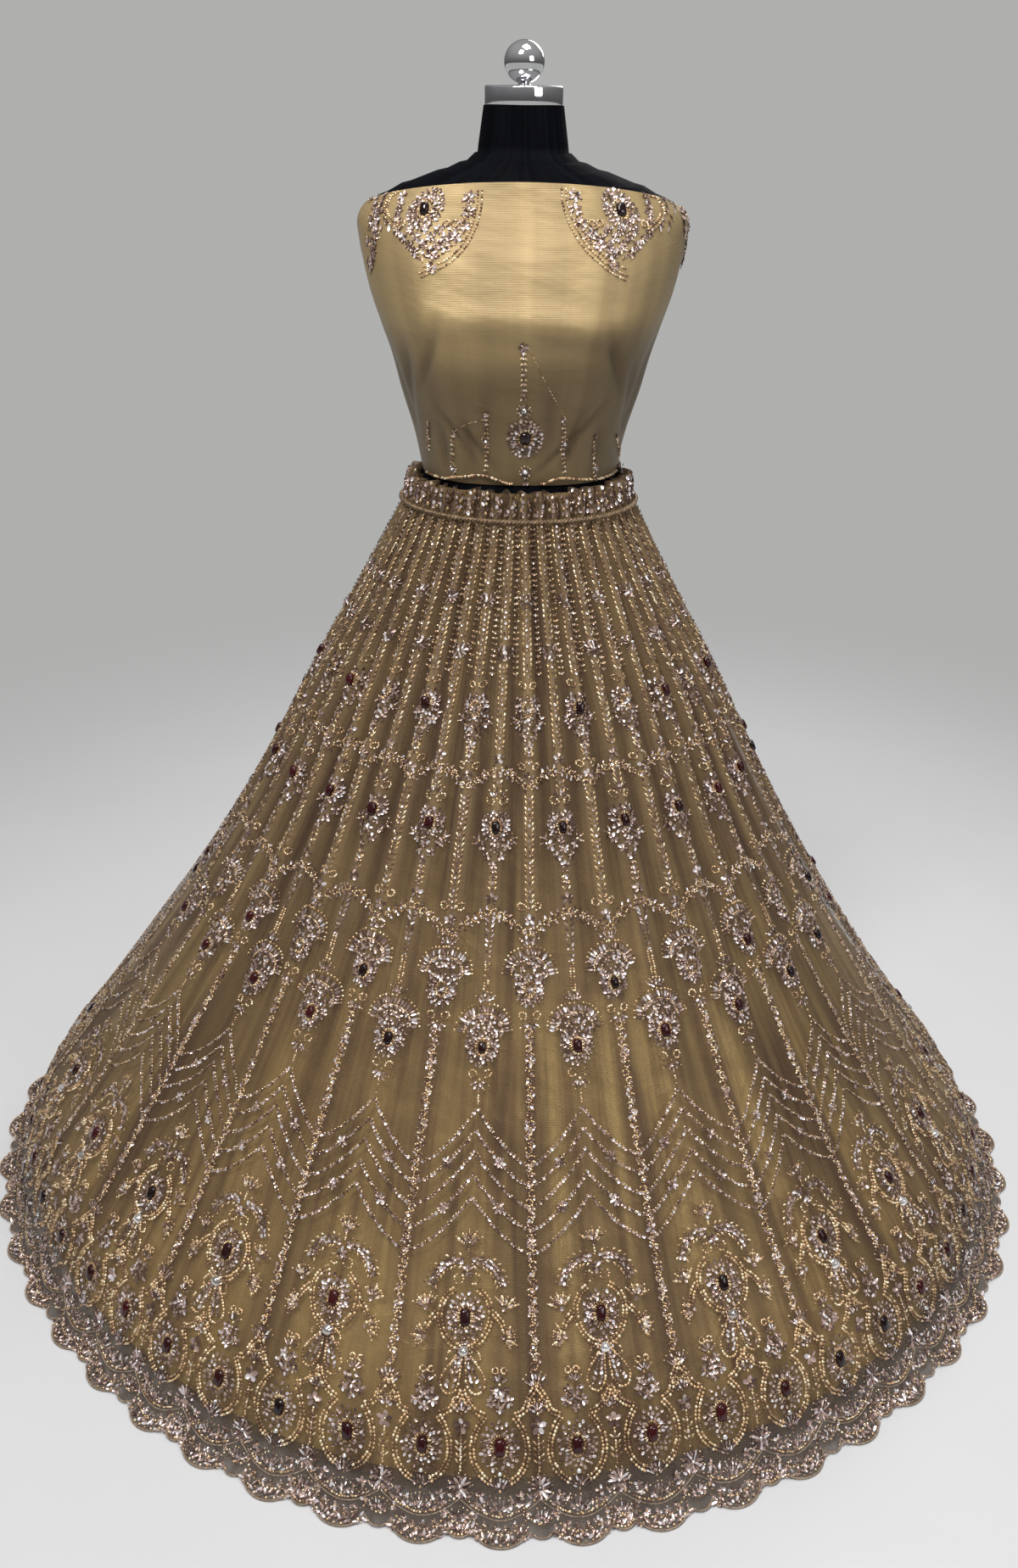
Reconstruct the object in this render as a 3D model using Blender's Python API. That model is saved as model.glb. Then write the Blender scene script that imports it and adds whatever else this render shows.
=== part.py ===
"""A lehenga choli on a limbless dress form, at real size in metres, with +Z up.

The origin is the centre of the stand's foot on the floor, and the front faces -Y. Angles round the
body run from 0 at the front to +90 degrees at +X. The skirt's rows are measured by their reach, the
length along the slope from the tip of the hem.
"""

from collections import namedtuple
from math import cos, pi, radians, sin

import bmesh
import bpy
import numpy as np

# Cloth and gaps
NET_WALL = 0.0012
SATIN_WALL = 0.0010
SEAM_GAP = 0.0003
REST_GAP = 0.0005

# Skirt of 25 gores, each with two scallop pairs and two pleats
KALI_COUNT = 25
KALI_ANGLE = 2 * pi / KALI_COUNT
FIRST_SEAM = radians(3.3)
KALI_COLUMNS = 8
PLEAT_COUNT = 2 * KALI_COUNT
WAIST_HEIGHT = 0.976
WAIST_DEPTH_RATIO = 0.86

# radius is measured over the pleat ridges across the width; shift moves a ring sideways; pleat is ridge
# to trough, and flute the size of the broad folds. A row marked as edge is no ring of its own.
SkirtRow = namedtuple("SkirtRow", "height radius shift pleat flute edge")
SKIRT_ROWS = (
    SkirtRow(0.0013, 0.7300, -0.0010, 0.000, 0.000, True),
    SkirtRow(0.0060, 0.7085, -0.0014, 0.000, 0.000, True),
    SkirtRow(0.0200, 0.6985, -0.0020, 0.000, 0.002, False),
    SkirtRow(0.0976, 0.6620, -0.0040, 0.000, 0.006, False),
    SkirtRow(0.1952, 0.5900, -0.0066, 0.002, 0.010, True),
    SkirtRow(0.3123, 0.5085, -0.0064, 0.004, 0.012, False),
    SkirtRow(0.4392, 0.4240, -0.0036, 0.006, 0.012, False),
    SkirtRow(0.5856, 0.3390, -0.0012, 0.010, 0.009, False),
    SkirtRow(0.7320, 0.2632, 0.0000, 0.014, 0.005, False),
    SkirtRow(0.8588, 0.1935, 0.0000, 0.016, 0.001, False),
    SkirtRow(0.9230, 0.1595, 0.0000, 0.014, 0.000, False),
    SkirtRow(0.9560, 0.1430, 0.0000, 0.008, 0.000, False),
    SkirtRow(0.9880, 0.1325, 0.0000, 0.007, 0.000, False),
)
# The skirt was spread by hand, so its hem wanders in and out of a circle in a few slow lobes, which
# fade towards the waist. turn is the angle where a lobe stands out furthest.
Lobe = namedtuple("Lobe", "count size turn")
SPREAD_LOBES = (
    Lobe(2, 0.0093, radians(-31.3)),
    Lobe(3, 0.0147, radians(37.2)),
    Lobe(4, 0.0113, radians(-10.1)),
)
CORD_HEIGHT = 0.9560

# Scallops of the net's edge, by their middle and half width as shares of a gore
Scallop = namedtuple("Scallop", "middle half_width tip segments")
SCALLOP_VALLEY = 0.022
SCALLOPS = (
    Scallop(0.00, 0.08, 0.010, 2),
    Scallop(0.25, 0.17, 0.000, 6),
    Scallop(0.50, 0.08, 0.010, 4),
    Scallop(0.75, 0.17, 0.000, 6),
    Scallop(1.00, 0.08, 0.010, 2),
)
SCALLOP_ROUNDNESS = 0.6

# Satin lining inside the net
LINING_HEM_REACH = 0.066
LINING_TOP_HEIGHT = 0.985
LINING_SLACK = 0.0015
TIGHT_HEIGHT = 0.86

# Cord round the gathers
CORD_RADIUS = 0.0022
CORD_SEGMENTS = 2 * PLEAT_COUNT

# Blouse length wrapped round the form. swell is the depth that a round front would have, and span the
# depth of the cloth stretched flat between the two fullest points.
BlouseRow = namedtuple("BlouseRow", "height half_width span swell back")
BLOUSE_ROWS = (
    BlouseRow(0.992, 0.1178, 0.1000, 0.1020, 0.0900),
    BlouseRow(1.040, 0.1275, 0.1080, 0.1120, 0.0930),
    BlouseRow(1.090, 0.1420, 0.1230, 0.1320, 0.0960),
    BlouseRow(1.130, 0.1520, 0.1360, 0.1500, 0.0990),
    BlouseRow(1.165, 0.1630, 0.1425, 0.1600, 0.1010),
    BlouseRow(1.207, 0.1780, 0.1300, 0.1450, 0.1030),
    BlouseRow(1.252, 0.1875, 0.1130, 0.1250, 0.1020),
    BlouseRow(1.285, 0.1860, 0.0980, 0.1080, 0.0980),
    BlouseRow(1.307, 0.1680, 0.0890, 0.0980, 0.0880),
    BlouseRow(1.325, 0.1500, 0.0830, 0.0900, 0.0800),
)
BLOUSE_RING_HEIGHTS = (0.992, 1.040, 1.090, 1.130, 1.165, 1.207, 1.252)
BLOUSE_TOP_FRONT = 1.322
BLOUSE_TOP_BACK = 1.288
BLOUSE_TOP_CURVE = 0.75
BLOUSE_FOLD = 0.0022
BLOUSE_FOLD_COUNT = 9
BODY_COLUMNS = 36
BODY_SQUARENESS = 2.1
SPAN_SOFTNESS = 0.004
LAP_COLUMNS = 2
LAP_ANGLE = 0.26
LAP_LIFT = 0.0010
LAP_RISE = 0.60

# Dress form. Below the waist it fills the skirt's heading, above it the blouse, and past the blouse
# its own rows take over.
FormRow = namedtuple("FormRow", "height half_width front back")
FORM_HIP_ROWS = (
    FormRow(0.800, 0.1480, 0.1180, 0.1140),
    FormRow(0.859, 0.1480, 0.1200, 0.1160),
)
FORM_SHOULDER_ROWS = (
    FormRow(1.280, 0.1740, 0.0840, 0.0880),
    FormRow(1.301, 0.1580, 0.0720, 0.0760),
    FormRow(1.316, 0.1220, 0.0620, 0.0660),
    FormRow(1.327, 0.0905, 0.0560, 0.0600),
    FormRow(1.345, 0.0520, 0.0500, 0.0530),
    FormRow(1.397, 0.0455, 0.0455, 0.0455),
)
FORM_WAIST_HEIGHTS = (0.923, 0.956)

# Chrome cap and ball
CAP_RADIUS = 0.0436
CAP_HEIGHT = 0.0195
CAP_EDGE = 0.0012
BALL_RADIUS = 0.0223
BALL_CENTRE = 1.4407
STEM_RADIUS = 0.0060
ROUND_SIDES = 28
BALL_BANDS = 10

# Stand
POLE_RADIUS = 0.0125
POLE_SIDES = 16
BASE_RADIUS = 0.160
BASE_HEIGHT = 0.012
BASE_EDGE = 0.003
BASE_SIDES = 40


def smooth_between(places, values, place):
    """A smooth curve through values at rising places, with the slopes of its neighbours."""
    places = np.asarray(places, float)
    values = np.asarray(values, float)
    slopes = np.gradient(values, places)
    low = int(np.clip(np.searchsorted(places, place) - 1, 0, len(places) - 2))
    step = places[low + 1] - places[low]
    t = (place - places[low]) / step
    return (
        (2 * t**3 - 3 * t**2 + 1) * values[low]
        + (t**3 - 2 * t**2 + t) * step * slopes[low]
        + (3 * t**2 - 2 * t**3) * values[low + 1]
        + (t**3 - t**2) * step * slopes[low + 1]
    )


def row_reaches(rows):
    """Length along the slope from the first row to each row."""
    radii = np.array([row.radius for row in rows])
    heights = np.array([row.height for row in rows])
    steps = np.hypot(np.diff(radii), np.diff(heights))
    return np.concatenate([[0.0], np.cumsum(steps)])


SKIRT_REACHES = row_reaches(SKIRT_ROWS)


def skirt_value(name, reach):
    """A column of the skirt's table at a reach."""
    return smooth_between(SKIRT_REACHES, [getattr(row, name) for row in SKIRT_ROWS], reach)


def reach_at_height(height):
    """Reach of the skirt's slope at a height."""
    return float(np.interp(height, [row.height for row in SKIRT_ROWS], SKIRT_REACHES))


def depth_ratio(height):
    """Depth of the skirt's section over its width, round at the floor and flatter at the waist."""
    return 1.0 - (1.0 - WAIST_DEPTH_RATIO) * height / WAIST_HEIGHT


def skirt_inset(angle, reach):
    """How far the net lies inside its ridges: pleats with a ridge on each vine, and broad flutes."""
    pleat = 0.5 - 0.5 * cos(PLEAT_COUNT * (angle - FIRST_SEAM))
    flute = 0.28 * sin(7 * angle + 0.5) + 0.22 * sin(16 * angle + 2.0)
    return skirt_value("pleat", reach) * pleat + skirt_value("flute", reach) * flute


def slope_radius(angle, reach):
    """Radius over the ridges, with the lobes of the spread hem."""
    fade = max(0.0, 1.0 - skirt_value("height", reach) / WAIST_HEIGHT)
    lobes = sum(lobe.size * cos(lobe.count * (angle - lobe.turn)) for lobe in SPREAD_LOBES)
    return skirt_value("radius", reach) + fade * lobes


def ring_point(angle, radius, reach):
    """A point of the skirt's oval section at a reach."""
    height = skirt_value("height", reach)
    across = radius * sin(angle) + skirt_value("shift", reach)
    return np.array([across, -radius * depth_ratio(height) * cos(angle), height])


def skirt_point(angle, reach):
    """A point of the net's outer face."""
    return ring_point(angle, slope_radius(angle, reach) - skirt_inset(angle, reach), reach)


def outward_normal(surface, angle, level):
    """Unit normal of a surface given by angle and level, from small steps along both."""
    step_angle = 0.002
    step_level = 0.0005
    across = surface(angle + step_angle, level) - surface(angle - step_angle, level)
    upward = surface(angle, level + step_level) - surface(angle, level - step_level)
    normal = np.cross(across, upward)
    return normal / np.linalg.norm(normal)


def both_faces(surface, angle, level, wall):
    """A point of the outer face and the point of the inner face behind it."""
    outer = surface(angle, level)
    return outer, outer - wall * outward_normal(surface, angle, level)


def material(name, colour, roughness, metallic=0.0):
    """A plain Principled material."""
    found = bpy.data.materials.get(name)
    if found:
        return found
    made = bpy.data.materials.new(name)
    made.use_nodes = True
    shader = made.node_tree.nodes["Principled BSDF"]
    shader.inputs["Base Color"].default_value = (*colour, 1.0)
    shader.inputs["Roughness"].default_value = roughness
    shader.inputs["Metallic"].default_value = metallic
    return made


def net_material():
    """Brown-gold net."""
    return material("net", (0.36, 0.27, 0.19), 0.7)


def satin_material():
    """Gold satin."""
    return material("satin", (0.52, 0.38, 0.19), 0.4)


def cord_material():
    """Antique gold cord."""
    return material("gold_cord", (0.45, 0.32, 0.16), 0.45, 0.6)


def jersey_material():
    """Black cover of the form."""
    return material("black_jersey", (0.02, 0.021, 0.026), 0.85)


def chrome_material():
    """Polished metal of the cap and ball."""
    return material("chrome", (0.78, 0.78, 0.79), 0.12, 1.0)


def painted_material():
    """Black painted metal of the stand."""
    return material("stand_paint", (0.04, 0.04, 0.045), 0.5)


def finish_object(name, mesh_builder, finish, smooth_angle=radians(50)):
    """Turn a bmesh into a named object with its faces pointing out."""
    bmesh.ops.recalc_face_normals(mesh_builder, faces=mesh_builder.faces)
    mesh = bpy.data.meshes.new(name)
    mesh_builder.to_mesh(mesh)
    mesh_builder.free()
    mesh.shade_smooth()
    mesh.set_sharp_from_angle(angle=smooth_angle)
    mesh.materials.append(finish)
    made = bpy.data.objects.new(name, mesh)
    bpy.context.scene.collection.objects.link(made)
    return made


def add_row(mesh_builder, points):
    """Vertices for a row of points."""
    return [mesh_builder.verts.new(point) for point in points]


def bridge_rows(mesh_builder, first, second, closed=False):
    """Quads between two rows with the same number of vertices."""
    count = len(first)
    for here in range(count if closed else count - 1):
        after = (here + 1) % count
        mesh_builder.faces.new((first[here], first[after], second[after], second[here]))


def bridge_uneven(mesh_builder, first, first_places, second, second_places):
    """Triangles between two rows whose vertices lie at different places from 0 to 1."""
    low = 0
    high = 0
    while low < len(first) - 1 or high < len(second) - 1:
        low_next = first_places[low + 1] if low < len(first) - 1 else 2.0
        high_next = second_places[high + 1] if high < len(second) - 1 else 2.0
        if low_next <= high_next:
            mesh_builder.faces.new((first[low], first[low + 1], second[high]))
            low += 1
        else:
            mesh_builder.faces.new((first[low], second[high + 1], second[high]))
            high += 1


def scallop_edge():
    """Places across a gore and reaches of its scalloped edge, from one seam to the next."""
    places = []
    reaches = []
    for scallop in SCALLOPS:
        low = max(0.0, scallop.middle - scallop.half_width)
        high = min(1.0, scallop.middle + scallop.half_width)
        for place in np.linspace(low, high, scallop.segments + 1):
            if places and place - places[-1] < 1e-6:
                continue
            away = min(1.0, abs(place - scallop.middle) / scallop.half_width)
            bulge = (1.0 - away**2) ** SCALLOP_ROUNDNESS
            places.append(float(place))
            reaches.append(SCALLOP_VALLEY - (SCALLOP_VALLEY - scallop.tip) * bulge)
    return places, reaches


def kali_angle(number, place, reach):
    """Angle of a place across a gore, kept half a seam gap inside its seams."""
    seam = FIRST_SEAM + number * KALI_ANGLE
    margin = 0.5 * SEAM_GAP / skirt_value("radius", reach)
    return seam + margin + place * (KALI_ANGLE - 2 * margin)


def kali_row(mesh_builder, number, places, reaches):
    """Outer and inner vertices of one row across a gore."""
    pairs = []
    for place, reach in zip(places, reaches):
        angle = kali_angle(number, place, reach)
        pairs.append(both_faces(skirt_point, angle, reach, NET_WALL))
    outer = add_row(mesh_builder, [pair[0] for pair in pairs])
    inner = add_row(mesh_builder, [(pair[1][0], pair[1][1], max(0.0, pair[1][2])) for pair in pairs])
    return outer, inner


def build_kali(number):
    """One gore of net with its scalloped edge, its pleats and its part of the heading."""
    mesh_builder = bmesh.new()
    edge_places, edge_reaches = scallop_edge()
    places = [column / KALI_COLUMNS for column in range(KALI_COLUMNS + 1)]
    ring_reaches = [reach for row, reach in zip(SKIRT_ROWS, SKIRT_REACHES) if not row.edge]
    edge = kali_row(mesh_builder, number, edge_places, edge_reaches)
    rings = [kali_row(mesh_builder, number, places, [reach] * len(places)) for reach in ring_reaches]
    for side in (0, 1):
        bridge_uneven(mesh_builder, edge[side], edge_places, rings[0][side], places)
        for lower, upper in zip(rings[:-1], rings[1:]):
            bridge_rows(mesh_builder, lower[side], upper[side])
    bridge_rows(mesh_builder, edge[0], edge[1])
    bridge_rows(mesh_builder, rings[-1][0], rings[-1][1])
    for end in (0, -1):
        outer = [edge[0][end]] + [ring[0][end] for ring in rings]
        inner = [edge[1][end]] + [ring[1][end] for ring in rings]
        bridge_rows(mesh_builder, outer, inner)
    return finish_object(f"kali_{number + 1:02d}", mesh_builder, net_material())


def build_tube_wall(name, outer_rows, inner_rows, finish):
    """A closed tube of cloth from rows of outer and inner points."""
    mesh_builder = bmesh.new()
    outer = [add_row(mesh_builder, row) for row in outer_rows]
    inner = [add_row(mesh_builder, row) for row in inner_rows]
    for rows in (outer, inner):
        for lower, upper in zip(rows[:-1], rows[1:]):
            bridge_rows(mesh_builder, lower, upper, closed=True)
    bridge_rows(mesh_builder, outer[0], inner[0], closed=True)
    bridge_rows(mesh_builder, outer[-1], inner[-1], closed=True)
    return finish_object(name, mesh_builder, finish)


def body_angles():
    """Angles of the columns shared by the lining, the blouse and the form."""
    return [-pi + 2 * pi * column / BODY_COLUMNS for column in range(BODY_COLUMNS)]


def lining_radius(angle, reach):
    """Outer radius of the lining, clear of the deepest trough of the net."""
    deepest = skirt_value("pleat", reach) + 0.5 * skirt_value("flute", reach)
    slack = LINING_SLACK if skirt_value("height", reach) < TIGHT_HEIGHT else REST_GAP
    return slope_radius(angle, reach) - deepest - NET_WALL - slack


def lining_ring(reach, inset):
    """A ring of the lining, moved in from its outer face."""
    return [ring_point(angle, lining_radius(angle, reach) - inset, reach) for angle in body_angles()]


def build_lining():
    """The satin lining, a flared tube that ends above the net's scallops."""
    top_reach = reach_at_height(LINING_TOP_HEIGHT)
    reaches = [LINING_HEM_REACH]
    reaches += [reach for reach in SKIRT_REACHES if LINING_HEM_REACH + 0.05 < reach < top_reach - 0.01]
    reaches.append(top_reach)
    outer_rows = [lining_ring(reach, 0.0) for reach in reaches]
    inner_rows = [lining_ring(reach, SATIN_WALL) for reach in reaches]
    return build_tube_wall("skirt_lining", outer_rows, inner_rows, satin_material())


def build_waist_cord():
    """The cord that ties the gathers, a ring resting on the pleat ridges."""
    mesh_builder = bmesh.new()
    reach = reach_at_height(CORD_HEIGHT)
    sections = []
    for segment in range(CORD_SEGMENTS):
        angle = FIRST_SEAM + 2 * pi * segment / CORD_SEGMENTS
        middle = slope_radius(angle, reach) + CORD_RADIUS + SEAM_GAP
        corners = []
        for turn in range(4):
            spoke = pi / 4 + turn * pi / 2
            radius = middle + CORD_RADIUS * cos(spoke)
            point = ring_point(angle, radius, reach)
            point[2] += CORD_RADIUS * sin(spoke)
            corners.append(point)
        sections.append(add_row(mesh_builder, corners))
    for here in range(CORD_SEGMENTS):
        bridge_rows(mesh_builder, sections[here], sections[(here + 1) % CORD_SEGMENTS], closed=True)
    return finish_object("waist_cord", mesh_builder, cord_material())


def blouse_value(name, height):
    """A column of the blouse's table at a height."""
    return smooth_between([row.height for row in BLOUSE_ROWS], [getattr(row, name) for row in BLOUSE_ROWS], height)


def oval(angle, half_width, depth, squareness=BODY_SQUARENESS):
    """A point of a slightly squared oval, as x and the depth from the middle plane."""
    across = abs(sin(angle)) ** (2 / squareness) * (1 if sin(angle) >= 0 else -1)
    along = abs(cos(angle)) ** (2 / squareness)
    return half_width * across, depth * along


def blouse_point(angle, height):
    """A point of the blouse's outer face without folds: a round back and a front stretched flat."""
    half_width = blouse_value("half_width", height)
    if cos(angle) < 0:
        x, depth = oval(angle, half_width, blouse_value("back", height))
        return np.array([x, depth, height])
    x, depth = oval(angle, half_width, blouse_value("swell", height))
    span = blouse_value("span", height)
    limited = -SPAN_SOFTNESS * np.log(np.exp(-depth / SPAN_SOFTNESS) + np.exp(-span / SPAN_SOFTNESS))
    offset = -SPAN_SOFTNESS * np.log(1.0 + np.exp(-span / SPAN_SOFTNESS))
    return np.array([x, -(limited - offset), height])


def blouse_top(angle):
    """Height of the blouse's top edge, highest at the centre front."""
    return BLOUSE_TOP_BACK + (BLOUSE_TOP_FRONT - BLOUSE_TOP_BACK) * max(0.0, cos(angle)) ** BLOUSE_TOP_CURVE


def blouse_fold(angle, height):
    """Soft folds where the satin is slack, under the arms and across the back."""
    slack = sin(pi * (height - 0.992) / 0.33) * min(1.0, max(0.0, 1.15 - cos(angle)))
    return BLOUSE_FOLD * slack * (0.5 + 0.5 * cos(BLOUSE_FOLD_COUNT * angle + 4 * height))


def lap_lift(angle):
    """How far the upper end of the length rides over the lower one at the centre back."""
    rise = np.clip((angle - (pi - 2 * LAP_RISE)) / LAP_RISE, 0.0, 1.0)
    return (SATIN_WALL + LAP_LIFT) * (3 * rise**2 - 2 * rise**3)


def build_blouse():
    """The blouse length: a wall wrapped round the form with its two ends lapped at the back."""
    mesh_builder = bmesh.new()
    angles = [-pi + 2 * pi * column / BODY_COLUMNS for column in range(BODY_COLUMNS + 1)]
    angles += [pi + LAP_ANGLE * (column + 1) / LAP_COLUMNS for column in range(LAP_COLUMNS)]
    outer = []
    inner = []
    for level in range(len(BLOUSE_RING_HEIGHTS) + 1):
        outer_points = []
        inner_points = []
        for angle in angles:
            top = blouse_top(angle)
            height = BLOUSE_RING_HEIGHTS[level] if level < len(BLOUSE_RING_HEIGHTS) else top
            normal = outward_normal(blouse_point, angle, height)
            lifted = blouse_point(angle, height) + normal * (blouse_fold(angle, height) + lap_lift(angle))
            outer_points.append(lifted)
            inner_points.append(lifted - normal * SATIN_WALL)
        outer.append(add_row(mesh_builder, outer_points))
        inner.append(add_row(mesh_builder, inner_points))
    for rows in (outer, inner):
        for lower, upper in zip(rows[:-1], rows[1:]):
            bridge_rows(mesh_builder, lower, upper)
    bridge_rows(mesh_builder, outer[0], inner[0])
    bridge_rows(mesh_builder, outer[-1], inner[-1])
    for end in (0, -1):
        bridge_rows(mesh_builder, [row[end] for row in outer], [row[end] for row in inner])
    return finish_object("choli_wrap", mesh_builder, satin_material())


def form_ring(row):
    """A ring of the form from one of its own rows."""
    points = []
    for angle in body_angles():
        depth = row.front if cos(angle) >= 0 else row.back
        x, along = oval(angle, row.half_width, depth)
        points.append((x, -along if cos(angle) >= 0 else along, row.height))
    return points


def form_waist_ring(height):
    """A ring of the form just inside the lining of the heading."""
    return lining_ring(reach_at_height(height), SATIN_WALL + REST_GAP)


def form_blouse_ring(height):
    """A ring of the form just inside the blouse."""
    points = []
    for angle in body_angles():
        normal = outward_normal(blouse_point, angle, height)
        inside = blouse_point(angle, height) - normal * (SATIN_WALL + REST_GAP)
        points.append((inside[0], inside[1], height))
    return points


def build_form():
    """The limbless torso with its neck, one closed body."""
    mesh_builder = bmesh.new()
    rings = [form_ring(row) for row in FORM_HIP_ROWS]
    rings += [form_waist_ring(height) for height in FORM_WAIST_HEIGHTS]
    rings += [form_blouse_ring(height) for height in BLOUSE_RING_HEIGHTS]
    rings += [form_ring(row) for row in FORM_SHOULDER_ROWS]
    rows = [add_row(mesh_builder, ring) for ring in rings]
    for lower, upper in zip(rows[:-1], rows[1:]):
        bridge_rows(mesh_builder, lower, upper, closed=True)
    mesh_builder.faces.new(rows[0])
    mesh_builder.faces.new(rows[-1])
    return finish_object("form_torso", mesh_builder, jersey_material())


def build_turned(name, profile, sides, finish):
    """A turned piece from a profile of radius and height that starts and ends on the axis."""
    mesh_builder = bmesh.new()
    points = [mesh_builder.verts.new((radius, 0.0, height)) for radius, height in profile]
    edges = [mesh_builder.edges.new(pair) for pair in zip(points[:-1], points[1:])]
    bmesh.ops.spin(
        mesh_builder,
        geom=points + edges,
        cent=(0.0, 0.0, 0.0),
        axis=(0.0, 0.0, 1.0),
        angle=2 * pi,
        steps=sides,
        use_merge=True,
    )
    bmesh.ops.remove_doubles(mesh_builder, verts=mesh_builder.verts, dist=0.00001)
    return finish_object(name, mesh_builder, finish, radians(35))


def build_neck_cap():
    """The chrome disc on the neck."""
    low = FORM_SHOULDER_ROWS[-1].height + SEAM_GAP
    high = low + CAP_HEIGHT
    profile = [
        (0.0, low),
        (CAP_RADIUS, low),
        (CAP_RADIUS, high - CAP_EDGE),
        (CAP_RADIUS - CAP_EDGE, high),
        (0.0, high),
    ]
    return build_turned("neck_cap", profile, ROUND_SIDES, chrome_material())


def build_finial():
    """The chrome ball on its short stem."""
    foot = FORM_SHOULDER_ROWS[-1].height + 2 * SEAM_GAP + CAP_HEIGHT
    first = np.arcsin(STEM_RADIUS / BALL_RADIUS)
    profile = [(0.0, foot), (STEM_RADIUS, foot)]
    for band in range(BALL_BANDS):
        turn = first + (pi - first) * band / BALL_BANDS
        profile.append((BALL_RADIUS * sin(turn), BALL_CENTRE - BALL_RADIUS * cos(turn)))
    profile.append((0.0, BALL_CENTRE + BALL_RADIUS))
    return build_turned("ball_finial", profile, ROUND_SIDES - 8, chrome_material())


def build_pole():
    """The hidden pole from the base to the torso."""
    low = BASE_HEIGHT + SEAM_GAP
    high = FORM_HIP_ROWS[0].height - SEAM_GAP
    profile = [(0.0, low), (POLE_RADIUS, low), (POLE_RADIUS, high), (0.0, high)]
    return build_turned("stand_pole", profile, POLE_SIDES, painted_material())


def build_base():
    """The hidden round base that the whole part stands on."""
    profile = [
        (0.0, 0.0),
        (BASE_RADIUS, 0.0),
        (BASE_RADIUS, BASE_HEIGHT - BASE_EDGE),
        (BASE_RADIUS - BASE_EDGE, BASE_HEIGHT),
        (0.0, BASE_HEIGHT),
    ]
    return build_turned("stand_base", profile, BASE_SIDES, painted_material())


def main():
    """Clear the scene and build every piece."""
    for old in list(bpy.data.objects):
        bpy.data.objects.remove(old, do_unlink=True)
    for number in range(KALI_COUNT):
        build_kali(number)
    build_lining()
    build_waist_cord()
    build_blouse()
    build_form()
    build_neck_cap()
    build_finial()
    build_pole()
    build_base()


main()
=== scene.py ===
"""Gold lehenga choli on a limbless black dress form.

The skirt is 25 gores of sheer net over a satin lining, both gathered under a twisted cord. The choli is
one length of satin wrapped round the form. Beads, sequins, stones and crystals are sewn on in one
pattern that repeats from gore to gore. All lengths are in metres.
"""

import logging
import math
from dataclasses import dataclass
from enum import Enum
from typing import Callable, Dict, List, Sequence, Tuple

import bpy
import numpy as np
from mathutils import Matrix, Vector


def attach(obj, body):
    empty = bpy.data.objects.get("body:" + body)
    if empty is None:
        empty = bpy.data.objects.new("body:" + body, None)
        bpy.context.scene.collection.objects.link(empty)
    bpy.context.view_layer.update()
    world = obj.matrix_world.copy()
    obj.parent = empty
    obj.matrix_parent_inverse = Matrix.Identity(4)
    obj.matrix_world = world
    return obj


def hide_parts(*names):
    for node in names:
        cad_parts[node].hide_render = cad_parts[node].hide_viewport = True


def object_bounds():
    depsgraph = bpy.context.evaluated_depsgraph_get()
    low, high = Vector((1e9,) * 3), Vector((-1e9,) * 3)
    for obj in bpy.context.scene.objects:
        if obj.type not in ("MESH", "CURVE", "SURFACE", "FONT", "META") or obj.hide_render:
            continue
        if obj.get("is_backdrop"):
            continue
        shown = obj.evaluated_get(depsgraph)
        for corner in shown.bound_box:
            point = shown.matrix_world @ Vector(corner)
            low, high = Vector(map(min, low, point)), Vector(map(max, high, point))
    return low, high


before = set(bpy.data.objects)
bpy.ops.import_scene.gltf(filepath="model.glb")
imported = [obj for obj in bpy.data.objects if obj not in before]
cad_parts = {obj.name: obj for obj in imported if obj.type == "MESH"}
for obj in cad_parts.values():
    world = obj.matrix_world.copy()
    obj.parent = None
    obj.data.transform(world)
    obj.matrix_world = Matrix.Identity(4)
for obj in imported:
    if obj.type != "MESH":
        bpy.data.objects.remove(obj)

LOG = logging.getLogger("lehenga")
BODY = "root"
Array = np.ndarray
Surface = Callable[[Array, Array], Array]

KALI_COUNT = 25
KALI_ANGLE = 2 * math.pi / KALI_COUNT
FIRST_SEAM = math.radians(3.3)
PLEAT_COUNT = 50
WAIST_HEIGHT = 0.976
WAIST_DEPTH_RATIO = 0.86
TOP_REACH = 1.1635
CORD_REACH = 1.1298
CORD_RADIUS = 0.0022
LINING_HEM_REACH = 0.066
LINING_TOP_REACH = 1.160
NET_WALL = 0.0012
SATIN_WALL = 0.0010
LINING_SLACK = 0.0015
SEAM_GAP = 0.0003
SCALLOP_VALLEY = 0.022
SCALLOP_ROUNDNESS = 0.6


def smooth_curve(places: Array, values: Array) -> Callable[[Array], Array]:
    """Build a smooth curve through given values.

    Args:
        places: Rising places along the curve.
        values: Value at each place.

    Returns:
        A function that gives the curve's value at any array of places.
    """
    slopes = np.gradient(values, places, axis=0)

    def curve(place: Array) -> Array:
        """Value at the places."""
        place = np.clip(place, places[0], places[-1])
        low = np.clip(np.searchsorted(places, place) - 1, 0, len(places) - 2)
        step = places[low + 1] - places[low]
        t = (place - places[low]) / step
        t = t.reshape(t.shape + (1,) * (values.ndim - 1))
        step = step.reshape(t.shape)
        start = (2 * t**3 - 3 * t**2 + 1) * values[low] + (t**3 - 2 * t**2 + t) * step * slopes[low]
        end = (3 * t**2 - 2 * t**3) * values[low + 1] + (t**3 - t**2) * step * slopes[low + 1]
        return start + end

    return curve


def smooth_step(value: Array) -> Array:
    """Ease from 0 to 1."""
    value = np.clip(value, 0.0, 1.0)
    return value * value * (3 - 2 * value)


@dataclass(frozen=True)
class Crease:
    """One soft fold of cloth."""

    angle: float
    low: float
    high: float
    depth: float
    width: float
    lean: float = 0.0


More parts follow.
